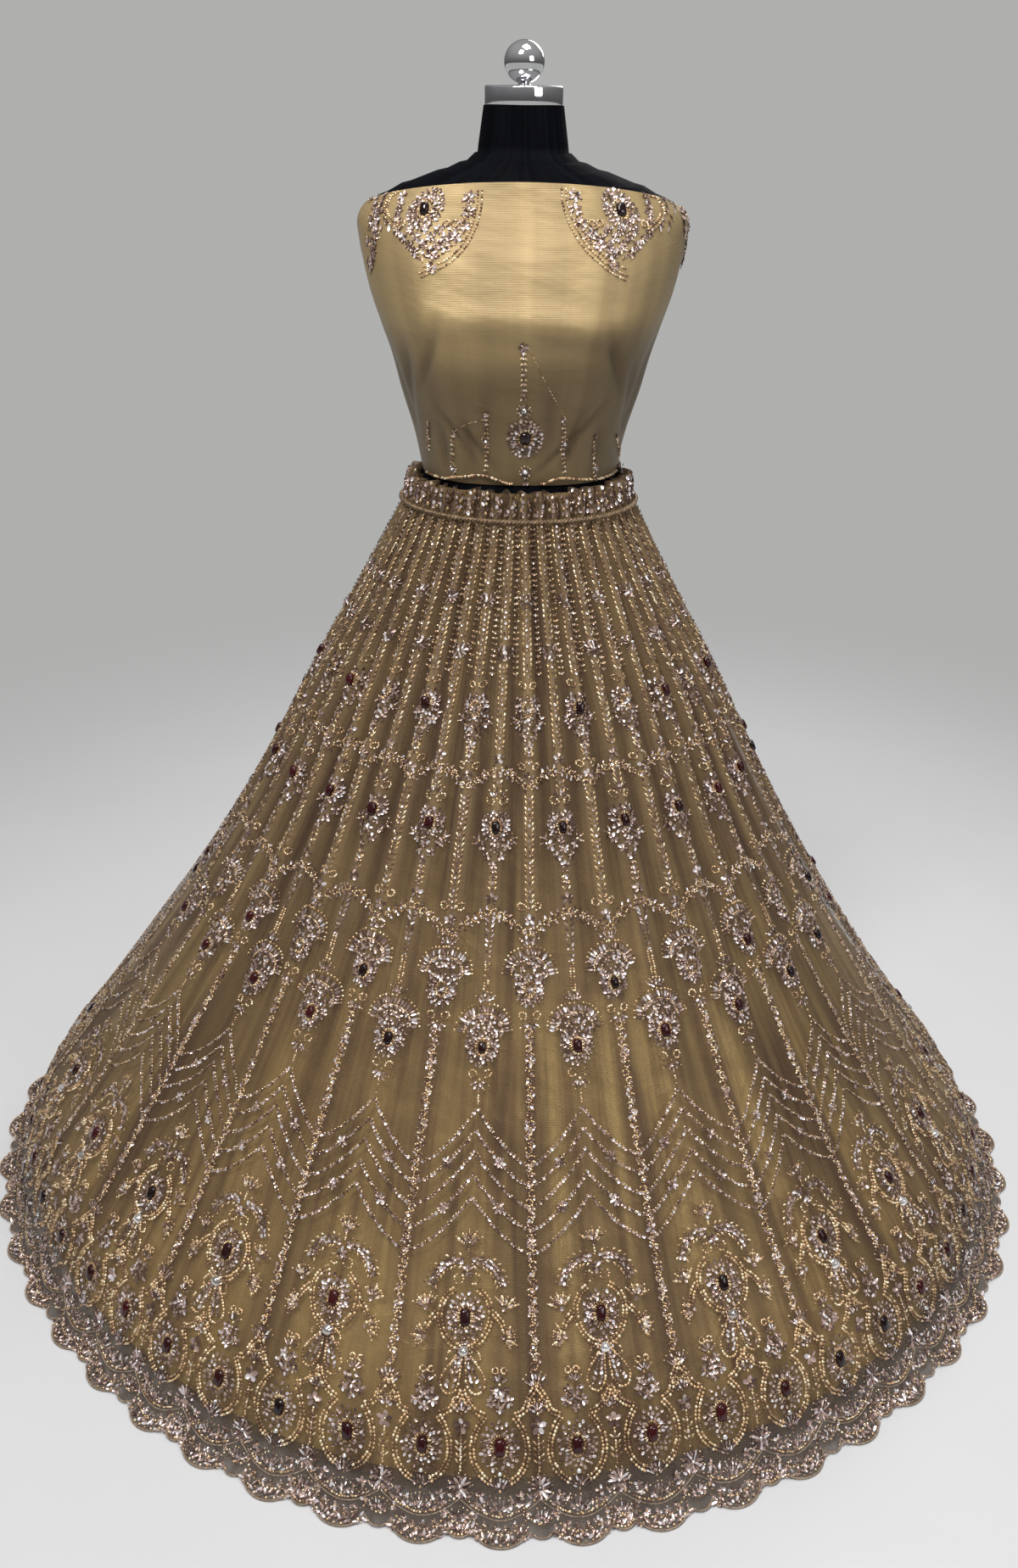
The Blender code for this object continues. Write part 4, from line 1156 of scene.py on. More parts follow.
class SkirtPieces:
    """The net gores, the lining, the cords and the skirt's embroidery."""

    COLUMNS = np.unique(np.round(np.concatenate([
        np.linspace(0, 0.08, 5), np.linspace(0.08, 0.42, 15), np.linspace(0.42, 0.58, 8),
        np.linspace(0.58, 0.92, 15), np.linspace(0.92, 1, 5)]), 6))

    def __init__(self, skirt: SkirtForm, finishes: Dict[str, bpy.types.Material]) -> None:
        """Build all of it."""
        self.skirt = skirt
        self.finishes = finishes
        self.lining()
        self.gores()
        self.cords()
        self.embroidery()

    def gores(self) -> None:
        """Build the net gores, gathered over the lining."""
        reach = np.concatenate([np.linspace(0, 0.09, 8)[:-1], np.linspace(0.09, TOP_REACH, 54)])[:, None]
        place = self.COLUMNS[None, :]
        edge = self.skirt.edge_reach(self.COLUMNS)[None, :]
        level = reach + edge * np.maximum(0.0, 1 - reach / 0.09)
        area = self.skirt.cut_area(0.009, TOP_REACH) / KALI_COUNT
        for number in range(KALI_COUNT):
            angle = FIRST_SEAM + (number + place) * KALI_ANGLE + 0 * level
            node = f"kali_{number + 1:02d}"
            mesh = grid_mesh(f"net_{node}", self.skirt.net(angle, level), np.stack([angle * 0.5, level], axis=-1))
            across = np.minimum(place, 1 - place) * self.skirt.gore_width(level)
            band = np.exp(-((across / 0.015) ** 2)) * smooth_step((0.56 - level) / 0.1)
            set_shades(mesh, "seam", "POINT", band * smooth_step((level - 0.10) / 0.08))
            set_shades(mesh, "gather", "POINT", smooth_step((level - 0.42) / 0.42))
            # Painted shade mask: the net is darkened between the pleats and between the heading's ruffles.
            set_shades(mesh, "pleat_shade", "POINT", self.skirt.pleat_shade(angle, level))
            # Hem border mask: the net beyond the lining gets painted shade and is made closer.
            set_shades(mesh, "border", "POINT", smooth_step((LINING_HEM_REACH + 0.012 - level) / 0.02))
            piece = show(mesh, self.finishes["net"])
            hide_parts(node)

    def lining(self) -> None:
        """Build the satin lining, one flared tube."""
        angle = np.linspace(-math.pi, math.pi, 301)[None, :]
        reach = np.linspace(LINING_HEM_REACH, LINING_TOP_REACH, 60)[:, None]
        angle, reach = np.broadcast_arrays(angle, reach)
        points = self.skirt.lining(angle, reach)
        mesh = grid_mesh("satin_lining", points, np.stack([angle * 0.5, reach], axis=-1))
        # Painted shade mask: the lining is darker in its creases.
        set_shades(mesh, "fold", "POINT", crease_depth(LINING_CREASES, angle, reach) / 0.01)
        piece = show(mesh, self.finishes["satin"])
        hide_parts("skirt_lining")
        area = self.skirt.cut_area(LINING_HEM_REACH, LINING_TOP_REACH)

    def cords(self) -> None:
        """Build the twisted waist cord, the corded scallop edge and the cord above it."""
        count = 1100
        angle = np.linspace(-math.pi, math.pi, count, endpoint=False)
        turns = 96
        strands = []
        for strand in range(2):
            twist = turns * angle + strand * math.pi
            centre = self.skirt.cord(angle, 0.0013 * np.cos(twist))
            centre[:, 2] += 0.0013 * np.sin(twist)
            out = centre * np.array([1.0, 1.0, 0.0])
            out = out / np.linalg.norm(out, axis=1, keepdims=True)
            strands.append(tube_mesh(f"waist_cord_strand_{strand + 1}", centre, out, 0.00155, 6))
        for strand, mesh in enumerate(strands):
            piece = show(mesh, self.finishes["gold_cord"])
            if strand == 0:
                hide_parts("waist_cord")
        place = np.linspace(0, KALI_COUNT, KALI_COUNT * 84, endpoint=False)
        self.net_cord("scallop_edge_cord", place, self.skirt.edge_reach(place % 1.0) + 0.0002, 0.0011)
        place = np.linspace(0, KALI_COUNT, KALI_COUNT * 44, endpoint=False)
        away = np.abs((place % 0.5) - 0.25) / 0.25
        self.net_cord("inner_swag_cord", place, 0.0285 + 0.0195 * away**1.8, 0.0008)

    def net_cord(self, name: str, place: Array, reach: Array, radius: float) -> None:
        """Build one thin cord stitched on the net."""
        angle = FIRST_SEAM + place * KALI_ANGLE
        point, _, _, out = surface_frames(self.skirt.net, angle, reach)
        show(tube_mesh(name, point + out * radius * 0.5, out, radius, 5), self.finishes["edge_cord"])

    def embroidery(self) -> None:
        """Sew the repeat on every gore, one piece for each band and kind."""
        rows = GoreEmbroidery(self.skirt).pattern.rows
        for kind in Kind:
            table = np.array(rows[kind])
            for number, zone in enumerate(ZONES):
                inside = table[(table[:, 1] >= zone.low) & (table[:, 1] < zone.high)]
                if not len(inside):
                    continue
                every = []
                for gore in range(KALI_COUNT):
                    away = Only.ODD.value if gore % 2 == 0 else Only.EVEN.value
                    kept = inside[inside[:, 6] != away]
                    angle = FIRST_SEAM + (gore + kept[:, 0]) * KALI_ANGLE
                    every.append(np.column_stack([angle, kept[:, 1:6]]))
                places = np.concatenate(every)
                sew(f"{zone.name}_{kind.value}", kind, self.skirt.net, places, self.finishes[kind.value], number)


class CholiPieces:
    """The wrapped satin and its embroidery."""

    def __init__(self, blouse: BlouseForm, shot: "Shot", finishes: Dict[str, bpy.types.Material]) -> None:
        """Build all of it."""
        self.blouse = blouse
        self.shot = shot
        self.finishes = finishes
        self.wrap()
        self.embroidery()

    def wrap(self) -> None:
        """Build the length of satin, lapped at the centre back."""
        angle = np.linspace(-math.pi, math.pi + BlouseForm.LAP_ANGLE, 300)[None, :]
        part = np.linspace(0, 1, 90)[:, None]
        height = BlouseForm.LOW + part * (self.blouse.top(angle) - BlouseForm.LOW)
        angle, height = np.broadcast_arrays(angle, height)
        points = self.blouse.point(angle, height)
        mesh = grid_mesh("choli_satin", points, np.stack([angle * 0.155, height], axis=-1))
        # Painted shade mask: the choli is darker in its creases, under the bust and towards the sides, where less
        # light falls.
        under = smooth_step((1.188 - 0.008 * np.cos(3 * angle + 1) - height) / (0.070 - 0.020 * np.sin(angle)))
        fold = crease_depth(BLOUSE_CREASES, angle, height) / 0.005 + 1.75 * under + 0.6 * np.abs(np.sin(angle)) ** 3
        set_shades(mesh, "fold", "POINT", np.clip(fold, 0, 2.5))
        piece = show(mesh, self.finishes["choli"])
        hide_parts("choli_wrap")

    def embroidery(self) -> None:
        """Sew the charted motifs on the front."""
        chart = CholiEmbroidery(self.blouse, self.shot)
        for kind in Kind:
            table = np.array(chart.pattern.rows[kind])
            angle = table[:, 0]
            height = np.clip(table[:, 1], self.blouse.LOW + 0.002, self.blouse.top(angle) - 0.002)
            places = np.column_stack([angle, height, table[:, 2:6]])
            sew(f"choli_{kind.value}", kind, self.blouse.point, places, self.finishes[kind.value], 40)


class FormPieces:
    """The jersey-covered torso with its chrome cap and ball."""

    HIPS = ((0.800, 0.148, 0.118, 0.114), (0.859, 0.148, 0.120, 0.116))
    SHOULDERS = ((1.280, 0.1790, 0.0860, 0.0900), (1.293, 0.1740, 0.0790, 0.0830),
                 (1.303, 0.1640, 0.0730, 0.0770), (1.318, 0.1290, 0.0630, 0.0670),
                 (1.329, 0.0960, 0.0560, 0.0600), (1.338, 0.0690, 0.0520, 0.0560),
                 (1.348, 0.0520, 0.0495, 0.0520), (1.397, 0.0450, 0.0450, 0.0450))
    BLOUSE_HEIGHTS = (0.992, 1.040, 1.090, 1.130, 1.165, 1.207, 1.252)

    def __init__(self, skirt: SkirtForm, blouse: BlouseForm, finishes: Dict[str, bpy.types.Material]) -> None:
        """Build the cover, the cap and the ball."""
        self.skirt = skirt
        self.blouse = blouse
        self.finishes = finishes
        self.cover()
        cap = [(0.0, 0.0), (0.0424, 0.0), (0.0434, 0.0004), (0.0436, 0.0014), (0.0436, 0.0178), (0.0432, 0.0188),
               (0.0424, 0.0195), (0.0330, 0.0197), (0.0120, 0.0200), (0.0, 0.0200)]
        self.turned("chrome_cap", [(radius, 1.3973 + height) for radius, height in cap], "neck_cap")
        ball = [(0.0, 1.4168), (0.0078, 1.4168), (0.0080, 1.4174), (0.0062, 1.4186), (0.0058, 1.4196)]
        start = math.asin(0.0060 / 0.0223)
        for step in range(33):
            turn = start + (math.pi - start) * step / 32
            ball.append((max(0.0, 0.0223 * math.sin(turn)), 1.4407 - 0.0223 * math.cos(turn)))
        self.turned("chrome_ball", ball, "ball_finial")

    @staticmethod
    def ring(angle: Array, row: Tuple[float, ...]) -> Array:
        """One level ring with its own depth in front and behind."""
        height, width, front, back = row
        depth = np.where(np.cos(angle) >= 0, front, back)
        across = width * np.sign(np.sin(angle)) * np.abs(np.sin(angle)) ** 0.952
        along = -depth * np.sign(np.cos(angle)) * np.abs(np.cos(angle)) ** 0.952
        return np.stack([across, along, np.full_like(angle, height)], axis=-1)

    def cover(self) -> None:
        """Build the jersey cover from the hips to the neck."""
        angle = np.linspace(-math.pi, math.pi, 144, endpoint=False)
        rings = [self.ring(angle, row) for row in self.HIPS]
        for height in (0.923, 0.956):
            reach = np.full_like(angle, float(np.interp(height, SkirtForm.ROWS[:, 0], self.skirt.reaches)))
            ring = self.skirt.lining(angle, reach)
            rings.append(ring * np.array([0.975, 0.975, 1.0]))
        for height in self.BLOUSE_HEIGHTS:
            ring = self.blouse.smooth(angle, np.full_like(angle, height))
            share = 0.985 if height == 0.992 else 0.975 if height == 1.252 else 0.945
            rings.append(ring * np.array([share, share, 1.0]))
        rings += [self.ring(angle, row) for row in self.SHOULDERS]
        stack = np.stack(rings)
        heights = stack[:, 0, 2].copy()
        levels = np.unique(np.concatenate([np.linspace(0.800, 1.397, 74), heights]))
        cell = np.clip(np.searchsorted(heights, levels) - 1, 0, len(heights) - 2)
        share = ((levels - heights[cell]) / (heights[cell + 1] - heights[cell]))[:, None, None]
        points = stack[cell] * (1 - share) + stack[cell + 1] * share
        points[1:-1] = 0.2 * points[:-2] + 0.6 * points[1:-1] + 0.2 * points[2:]
        points[..., 2] = levels[:, None]
        angle, levels = np.broadcast_arrays(angle[None, :], levels[:, None])
        mesh = grid_mesh("form_cover", points, np.stack([angle * 0.15, levels], axis=-1), closed=True)
        piece = show(mesh, self.finishes["black_jersey"])
        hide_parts("form_torso")
        girth = float(np.sum(np.linalg.norm(np.diff(points[30], axis=0), axis=1)))
        LOG.info("form girth at mid height %.3f m", girth)

    def turned(self, name: str, profile: Sequence[Tuple[float, float]], node: str) -> None:
        """Build a polished turned piece from its profile of radius and height."""
        turn = np.linspace(0, 2 * math.pi, 96, endpoint=False)[None, :]
        radius, height = np.array(profile).T[:, :, None]
        points = np.stack(np.broadcast_arrays(radius * np.sin(turn), -radius * np.cos(turn), height), axis=-1)
        chart = np.stack(np.broadcast_arrays(turn * 0.04, height), axis=-1)
        mesh = grid_mesh(name, points, chart, closed=True)
        piece = show(mesh, self.finishes["chrome"])
        mesh.set_sharp_from_angle(angle=math.radians(40))
        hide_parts(node)


class Net:
    """A node tree being wired up."""

    def __init__(self, tree: bpy.types.NodeTree) -> None:
        """Start on a tree."""
        self.tree = tree

    def add(self, kind: str, values: Dict[str, object] = {}, **settings: object) -> bpy.types.Node:
        """Add a node, set its properties, and link or set its inputs by name or number."""
        made = self.tree.nodes.new(kind)
        for name, setting in settings.items():
            setattr(made, name, setting)
        for name, value in values.items():
            socket = made.inputs[name]
            if isinstance(value, bpy.types.NodeSocket):
                self.tree.links.new(value, socket)
            else:
                socket.default_value = value
        return made

    def math(self, operation: str, first: object, second: object = 0.0) -> bpy.types.NodeSocket:
        """Do arithmetic on two values."""
        made = self.add("ShaderNodeMath", {0: first, 1: second}, operation=operation)
        return made.outputs[0]

    def mix(self, factor: object, first: object, second: object, blend: str = "MIX") -> bpy.types.NodeSocket:
        """Mix two colours."""
        made = self.add("ShaderNodeMix", {0: factor, 6: first, 7: second}, data_type="RGBA", blend_type=blend)
        return made.outputs[2]

    def scaled(self, vector: bpy.types.NodeSocket, scale: Tuple[float, float, float]) -> bpy.types.NodeSocket:
        """Stretch a coordinate."""
        made = self.add("ShaderNodeVectorMath", {0: vector, 1: scale}, operation="MULTIPLY")
        return made.outputs[0]

    def noise(self, vector: bpy.types.NodeSocket, scale: object, detail: float = 3.0) -> bpy.types.NodeSocket:
        """Soft noise from 0 to 1."""
        made = self.add("ShaderNodeTexNoise", {"Vector": vector, "Scale": scale, "Detail": detail})
        return made.outputs["Fac"]

    def crumple(self, vector: bpy.types.NodeSocket, scale: float) -> bpy.types.NodeSocket:
        """Sharp soft-sided ridges, as of cloth that was folded away."""
        bent = self.noise(self.scaled(vector, (1.0, 0.7, 1.0)), scale, 2.0)
        ridge = self.math("ABSOLUTE", self.math("SUBTRACT", bent, 0.5))
        return self.math("SUBTRACT", 1.0, self.math("MULTIPLY", self.math("POWER", ridge, 0.6), 2.2))

    def ramp(self, value: object, low: float, high: float, start: float, end: float) -> bpy.types.NodeSocket:
        """Carry a range of values over to another one, smoothly."""
        made = self.add("ShaderNodeMapRange", {0: value, 1: low, 2: high, 3: start, 4: end},
                        interpolation_type="SMOOTHSTEP")
        return made.outputs[0]


def new_group(name: str, inputs: Sequence[Tuple[str, str]], outputs: Sequence[Tuple[str, str]]) -> Tuple:
    """Start a shader node group.

    Args:
        name: Name of the group.
        inputs: Name and kind of each input.
        outputs: Name and kind of each output.

    Returns:
        The group's tree wired up by a Net, and its input and output nodes.
    """
    tree = bpy.data.node_groups.new(name, "ShaderNodeTree")
    for label, kind in inputs:
        tree.interface.new_socket(name=label, in_out="INPUT", socket_type=f"NodeSocket{kind}")
    for label, kind in outputs:
        tree.interface.new_socket(name=label, in_out="OUTPUT", socket_type=f"NodeSocket{kind}")
    net = Net(tree)
    return net, net.add("NodeGroupInput").outputs, net.add("NodeGroupOutput").inputs


def make_streak_group() -> bpy.types.NodeTree:
    """Streaks that run up the cloth, with broad soft patches between them."""
    net, given, result = new_group(
        "cloth streaks", (("Vector", "Vector"), ("Across", "Float"), ("Light", "Color"), ("Dark", "Color")),
        (("Color", "Color"), ("Mask", "Float")))
    fine = net.noise(net.scaled(given["Vector"], (1.0, 0.035, 1.0)), given["Across"], 4.0)
    broad = net.noise(net.scaled(given["Vector"], (1.0, 0.30, 1.0)), net.math("MULTIPLY", given["Across"], 0.22), 2.0)
    both = net.math("ADD", net.math("MULTIPLY", fine, 0.65), net.math("MULTIPLY", broad, 0.35))
    mask = net.ramp(both, 0.37, 0.63, 0.0, 1.0)
    net.tree.links.new(net.mix(mask, given["Dark"], given["Light"]), result["Color"])
    net.tree.links.new(mask, result["Mask"])
    return net.tree


def make_thread_group() -> bpy.types.NodeTree:
    """Crossing threads of a weave, knit or net, as a height."""
    net, given, result = new_group(
        "threads", (("Vector", "Vector"), ("Warp", "Float"), ("Weft", "Float")), (("Height", "Float"),))
    parts = net.add("ShaderNodeSeparateXYZ", {0: given["Vector"]}).outputs
    warp = net.math("SINE", net.math("MULTIPLY", parts[0], given["Warp"]))
    weft = net.math("SINE", net.math("MULTIPLY", parts[1], given["Weft"]))
    both = net.math("MULTIPLY", net.math("ADD", warp, weft), 0.25)
    net.tree.links.new(net.math("ADD", both, 0.5), result["Height"])
    return net.tree


def make_shade_group() -> bpy.types.NodeTree:
    """Uneven shade of small things, one for each."""
    net, given, result = new_group(
        "piece shade", (("Light", "Color"), ("Dark", "Color"), ("Accent", "Color")),
        (("Color", "Color"), ("Roughness", "Float")))
    shade = net.add("ShaderNodeAttribute", attribute_name="shade").outputs["Fac"]
    body = net.mix(net.ramp(shade, 0.25, 0.75, 0.0, 1.0), given["Dark"], given["Light"])
    spot = net.ramp(net.math("FRACT", net.math("MULTIPLY", shade, 7.31)), 0.78, 0.84, 0.0, 1.0)
    net.tree.links.new(net.mix(spot, body, given["Accent"]), result["Color"])
    rough = net.ramp(net.math("FRACT", net.math("MULTIPLY", shade, 3.7)), 0.0, 1.0, 0.16, 0.34)
    net.tree.links.new(rough, result["Roughness"])
    return net.tree


@dataclass(frozen=True)
class Finish:
    """The constants of one finish, with its light and dark tints."""

    name: str
    light: Tuple[float, float, float]
    dark: Tuple[float, float, float]
    roughness: float
    metallic: float = 0.0
    sheen: float = 0.0
    coat: float = 0.0
    accent: Tuple[float, float, float] = (0.8, 0.7, 0.6)


NET = Finish("net", (0.345, 0.236, 0.122), (0.108, 0.060, 0.045), 0.58, 0.15, 0.04)
SATIN = Finish("satin", (0.60, 0.415, 0.160), (0.16, 0.100, 0.042), 0.33, 0.45, 0.02)
CHOLI = Finish("choli", (0.395, 0.288, 0.140), (0.100, 0.067, 0.036), 0.42, 0.25, 0.05)
CORD = Finish("gold_cord", (0.36, 0.25, 0.15), (0.14, 0.085, 0.050), 0.42, 0.40, 0.05)
EDGE = Finish("edge_cord", (0.56, 0.43, 0.31), (0.26, 0.18, 0.12), 0.50, 0.20, 0.05)
JERSEY = Finish("black_jersey", (0.0036, 0.0040, 0.0062), (0.0014, 0.0016, 0.0026), 0.85)
CHROME = Finish("chrome", (0.86, 0.86, 0.88), (0.70, 0.70, 0.72), 0.07, 1.0)
PAINT = Finish("stand_paint", (0.045, 0.045, 0.050), (0.020, 0.020, 0.022), 0.45, 0.0, 0.0, 0.2)
BEADS = Finish("beads", (0.68, 0.455, 0.25), (0.20, 0.110, 0.062), 0.25, 0.45, 0.0, 0.2, (0.95, 0.78, 0.53))
SEQUINS = Finish("sequins", (0.57, 0.415, 0.37), (0.16, 0.098, 0.082), 0.2, 0.60, 0.0, 0.2, (0.95, 0.86, 0.88))
STONES = Finish("stones", (0.028, 0.0012, 0.002), (0.008, 0.0005, 0.001), 0.08, 0.0, 0.0, 0.0, (0.042, 0.002, 0.003))
CRYSTALS = Finish("crystals", (0.90, 0.87, 0.84), (0.50, 0.46, 0.43), 0.08, 0.85, 0.0, 0.6, (0.98, 0.97, 0.95))


def colour(tint: Tuple[float, float, float]) -> Tuple[float, float, float, float]:
    """A tint as an opaque colour."""
    return (*tint, 1.0)


class Wardrobe:
    """Makes every material once and hands it out by name."""

    def __init__(self) -> None:
        """Make the shared groups and all materials."""
        self.streaks = make_streak_group()
        self.threads = make_thread_group()
        self.shades = make_shade_group()
        self.made: Dict[str, bpy.types.Material] = {
            "net": self.net_cloth(), "satin": self.satin_cloth(SATIN), "choli": self.satin_cloth(CHOLI),
            "gold_cord": self.cord(CORD), "edge_cord": self.cord(EDGE), "black_jersey": self.jersey(), "chrome": self.chrome(),
            "stand_paint": self.paint(),
        }
        for finish in (BEADS, SEQUINS, STONES, CRYSTALS):
            self.made[finish.name] = self.small(finish)

    def start(self, finish: Finish) -> Tuple[Net, bpy.types.Node, bpy.types.Material]:
        """A new material with its constants on the shader."""
        made = bpy.data.materials.new(f"{finish.name}_finish")
        made.use_nodes = True
        shader = made.node_tree.nodes["Principled BSDF"]
        shader.inputs["Base Color"].default_value = colour(finish.light)
        shader.inputs["Roughness"].default_value = finish.roughness
        shader.inputs["Metallic"].default_value = finish.metallic
        shader.inputs["Sheen Weight"].default_value = finish.sheen
        shader.inputs["Sheen Roughness"].default_value = 0.4
        shader.inputs["Coat Weight"].default_value = finish.coat
        shader.inputs["Coat Roughness"].default_value = 0.06
        return Net(made.node_tree), shader, made

    def cloth(self, net: Net, finish: Finish, across: float, warp: float, weft: float) -> Tuple:
        """Streaks and threads along a cloth's own chart."""
        chart = net.add("ShaderNodeUVMap", uv_map="cloth").outputs[0]
        streaks = net.add("ShaderNodeGroup", node_tree=self.streaks)
        net.tree.links.new(chart, streaks.inputs["Vector"])
        streaks.inputs["Across"].default_value = across
        streaks.inputs["Light"].default_value = colour(finish.light)
        streaks.inputs["Dark"].default_value = colour(finish.dark)
        threads = net.add("ShaderNodeGroup", node_tree=self.threads)
        net.tree.links.new(chart, threads.inputs["Vector"])
        threads.inputs["Warp"].default_value = warp
        threads.inputs["Weft"].default_value = weft
        return chart, streaks.outputs, threads.outputs["Height"]

    def bump(self, net: Net, shader: bpy.types.Node, height: object, strength: float, distance: float) -> None:
        """Feed a height into the shader's normal."""
        made = net.add("ShaderNodeBump", {"Height": height, "Strength": strength, "Distance": distance})
        net.tree.links.new(made.outputs[0], shader.inputs["Normal"])

    def net_cloth(self) -> bpy.types.Material:
        """Sheer brown-gold net, closer and darker where it is gathered and along the seams. Shade is painted into its
        colour in the pleat valleys, between the heading's ruffles and on the hem border, and a highlight is painted on
        the gathered ridges.
        """
        net, shader, made = self.start(NET)
        shader.inputs["Specular IOR Level"].default_value = 0.2
        chart, streaks, threads = self.cloth(net, NET, 95.0, 5200.0, 5200.0)
        seam = net.add("ShaderNodeAttribute", attribute_name="seam").outputs["Fac"]
        gather = net.add("ShaderNodeAttribute", attribute_name="gather").outputs["Fac"]
        border = net.add("ShaderNodeAttribute", attribute_name="border").outputs["Fac"]
        tint = net.mix(net.math("MULTIPLY", seam, 0.75), streaks["Color"], (0.105, 0.058, 0.042, 1.0))
        pleat_shade = net.add("ShaderNodeAttribute", attribute_name="pleat_shade").outputs["Fac"]
        # Painted highlight: the gathered pleat ridges are lightened towards pale gold.
        ridge = net.math("MULTIPLY", net.math("SUBTRACT", 1.0, pleat_shade), gather)
        tint = net.mix(net.math("MULTIPLY", ridge, 0.34), tint, (0.50, 0.355, 0.185, 1.0))
        # Painted shade: the net is darkened towards near black in the pleat valleys and the heading's ruffle troughs.
        tint = net.mix(net.math("MULTIPLY", pleat_shade, 0.85), tint, (0.070, 0.040, 0.026, 1.0))
        # Painted shade: the net beyond the lining is darkened to stand in for the shadow under the skirt.
        tint = net.mix(net.math("MULTIPLY", border, 0.85), tint, (0.098, 0.076, 0.063, 1.0))
        net.tree.links.new(tint, shader.inputs["Base Color"])
        speck = net.noise(net.scaled(chart, (1.0, 1.0, 1.0)), 620.0, 2.0)
        cover = net.math("ADD", net.ramp(speck, 0.3, 0.7, 0.34, 0.60), net.math("MULTIPLY", gather, 0.30))
        cover = net.math("ADD", cover, net.math("MULTIPLY", seam, 0.18))
        cover = net.math("SUBTRACT", cover, net.math("MULTIPLY", streaks["Mask"], 0.20))
        cover = net.math("ADD", cover, net.math("MULTIPLY", border, 0.32))
        net.tree.links.new(net.math("MINIMUM", cover, 0.94), shader.inputs["Alpha"])
        wrinkle = net.noise(net.scaled(chart, (1.0, 0.10, 1.0)), 130.0, 4.0)
        height = net.math("ADD", wrinkle, net.math("MULTIPLY", threads, 0.12))
        broad = net.noise(net.scaled(chart, (1.0, 0.55, 1.0)), 15.0, 1.0)
        height = net.math("ADD", height, net.math("MULTIPLY", broad, 2.2))
        height = net.math("ADD", height, net.math("MULTIPLY", net.crumple(chart, 13.0), 0.22))
        self.bump(net, shader, height, 0.6, 0.006)
        return made

    def satin_cloth(self, finish: Finish) -> bpy.types.Material:
        """Lustrous satin with soft wrinkles along its folds, and shade painted into its colour by the fold mask: in
        the creases, and on the choli also under the bust and towards the sides.
        """
        net, shader, made = self.start(finish)
        shader.inputs["Specular IOR Level"].default_value = 0.3
        across = 26.0 if finish is SATIN else 34.0
        chart, streaks, threads = self.cloth(net, finish, across, 7000.0, 3500.0)
        fold = net.add("ShaderNodeAttribute", attribute_name="fold").outputs["Fac"]
        plain = net.mix(0.72 if finish is CHOLI else 0.0, streaks["Color"], colour(finish.light))
        # Painted shade: the satin is darkened towards its dark tint by the fold mask.
        tint = net.mix(net.math("MULTIPLY", fold, 0.35), plain, colour(finish.dark))
        net.tree.links.new(tint, shader.inputs["Base Color"])
        spread = 0.02 if finish is CHOLI else 0.09
        net.tree.links.new(net.ramp(streaks["Mask"], 0.0, 1.0, finish.roughness + spread, finish.roughness - spread),
                           shader.inputs["Roughness"])
        stretch = (0.45, 1.0, 1.0) if finish is CHOLI else (1.0, 0.22, 1.0)
        long = net.noise(net.scaled(chart, stretch), 24.0 if finish is CHOLI else 46.0, 3.0)
        slanted = net.add("ShaderNodeMapping", {"Vector": chart, "Rotation": (0.0, 0.0, 0.35)}).outputs[0]
        if finish is CHOLI:
            short = net.noise(net.scaled(slanted, (0.8, 2.6, 1.0)), 15.0, 2.0)
        else:
            short = net.math("ADD", net.noise(net.scaled(slanted, (0.7, 1.3, 1.0)), 19.0, 1.0),
                             net.math("MULTIPLY", net.crumple(net.scaled(slanted, (0.7, 1.5, 1.0)), 12.0), 0.22))
        height = net.math("ADD", net.math("MULTIPLY", long, 0.50), net.math("MULTIPLY", short, 0.28 if finish is CHOLI else 0.9))
        height = net.math("ADD", height, net.math("MULTIPLY", threads, 0.03))
        self.bump(net, shader, height, 0.6, 0.008)
        return made

    def cord(self, finish: Finish) -> bpy.types.Material:
        """Twisted metallic thread."""
        net, shader, made = self.start(finish)
        chart, streaks, _ = self.cloth(net, finish, 220.0, 0.0, 0.0)
        net.tree.links.new(streaks["Color"], shader.inputs["Base Color"])
        parts = net.add("ShaderNodeSeparateXYZ", {0: chart}).outputs
        slant = net.math("ADD", net.math("MULTIPLY", parts[0], 3600.0), net.math("MULTIPLY", parts[1], 2600.0))
        self.bump(net, shader, net.math("SINE", slant), 0.6, 0.0004)
        return made

    def jersey(self) -> bpy.types.Material:
        """Black knit with a faint blue bloom."""
        net, shader, made = self.start(JERSEY)
        chart, streaks, threads = self.cloth(net, JERSEY, 60.0, 6500.0, 6500.0)
        net.tree.links.new(streaks["Color"], shader.inputs["Base Color"])
        shader.inputs["Specular IOR Level"].default_value = 0.03
        worn = net.ramp(net.noise(chart, 18.0, 4.0), 0.3, 0.7, 0.66, 0.80)
        net.tree.links.new(worn, shader.inputs["Roughness"])
        self.bump(net, shader, threads, 0.3, 0.0004)
        return made

    def chrome(self) -> bpy.types.Material:
        """Polished metal with faint smudges."""
        net, shader, made = self.start(CHROME)
        place = net.add("ShaderNodeTexCoord").outputs["Object"]
        smudge = net.noise(place, 55.0, 4.0)
        net.tree.links.new(net.mix(net.ramp(smudge, 0.4, 0.7, 0.0, 0.5), colour(CHROME.light), colour(CHROME.dark)),
                           shader.inputs["Base Color"])
        net.tree.links.new(net.ramp(smudge, 0.35, 0.75, 0.05, 0.14), shader.inputs["Roughness"])
        return made

    def paint(self) -> bpy.types.Material:
        """Black paint with faint wear."""
        net, shader, made = self.start(PAINT)
        place = net.add("ShaderNodeTexCoord").outputs["Object"]
        wear = net.noise(place, 40.0, 5.0)
        net.tree.links.new(net.mix(wear, colour(PAINT.dark), colour(PAINT.light)), shader.inputs["Base Color"])
        net.tree.links.new(net.ramp(wear, 0.3, 0.7, 0.38, 0.55), shader.inputs["Roughness"])
        self.bump(net, shader, net.noise(place, 900.0, 2.0), 0.1, 0.0003)
        return made

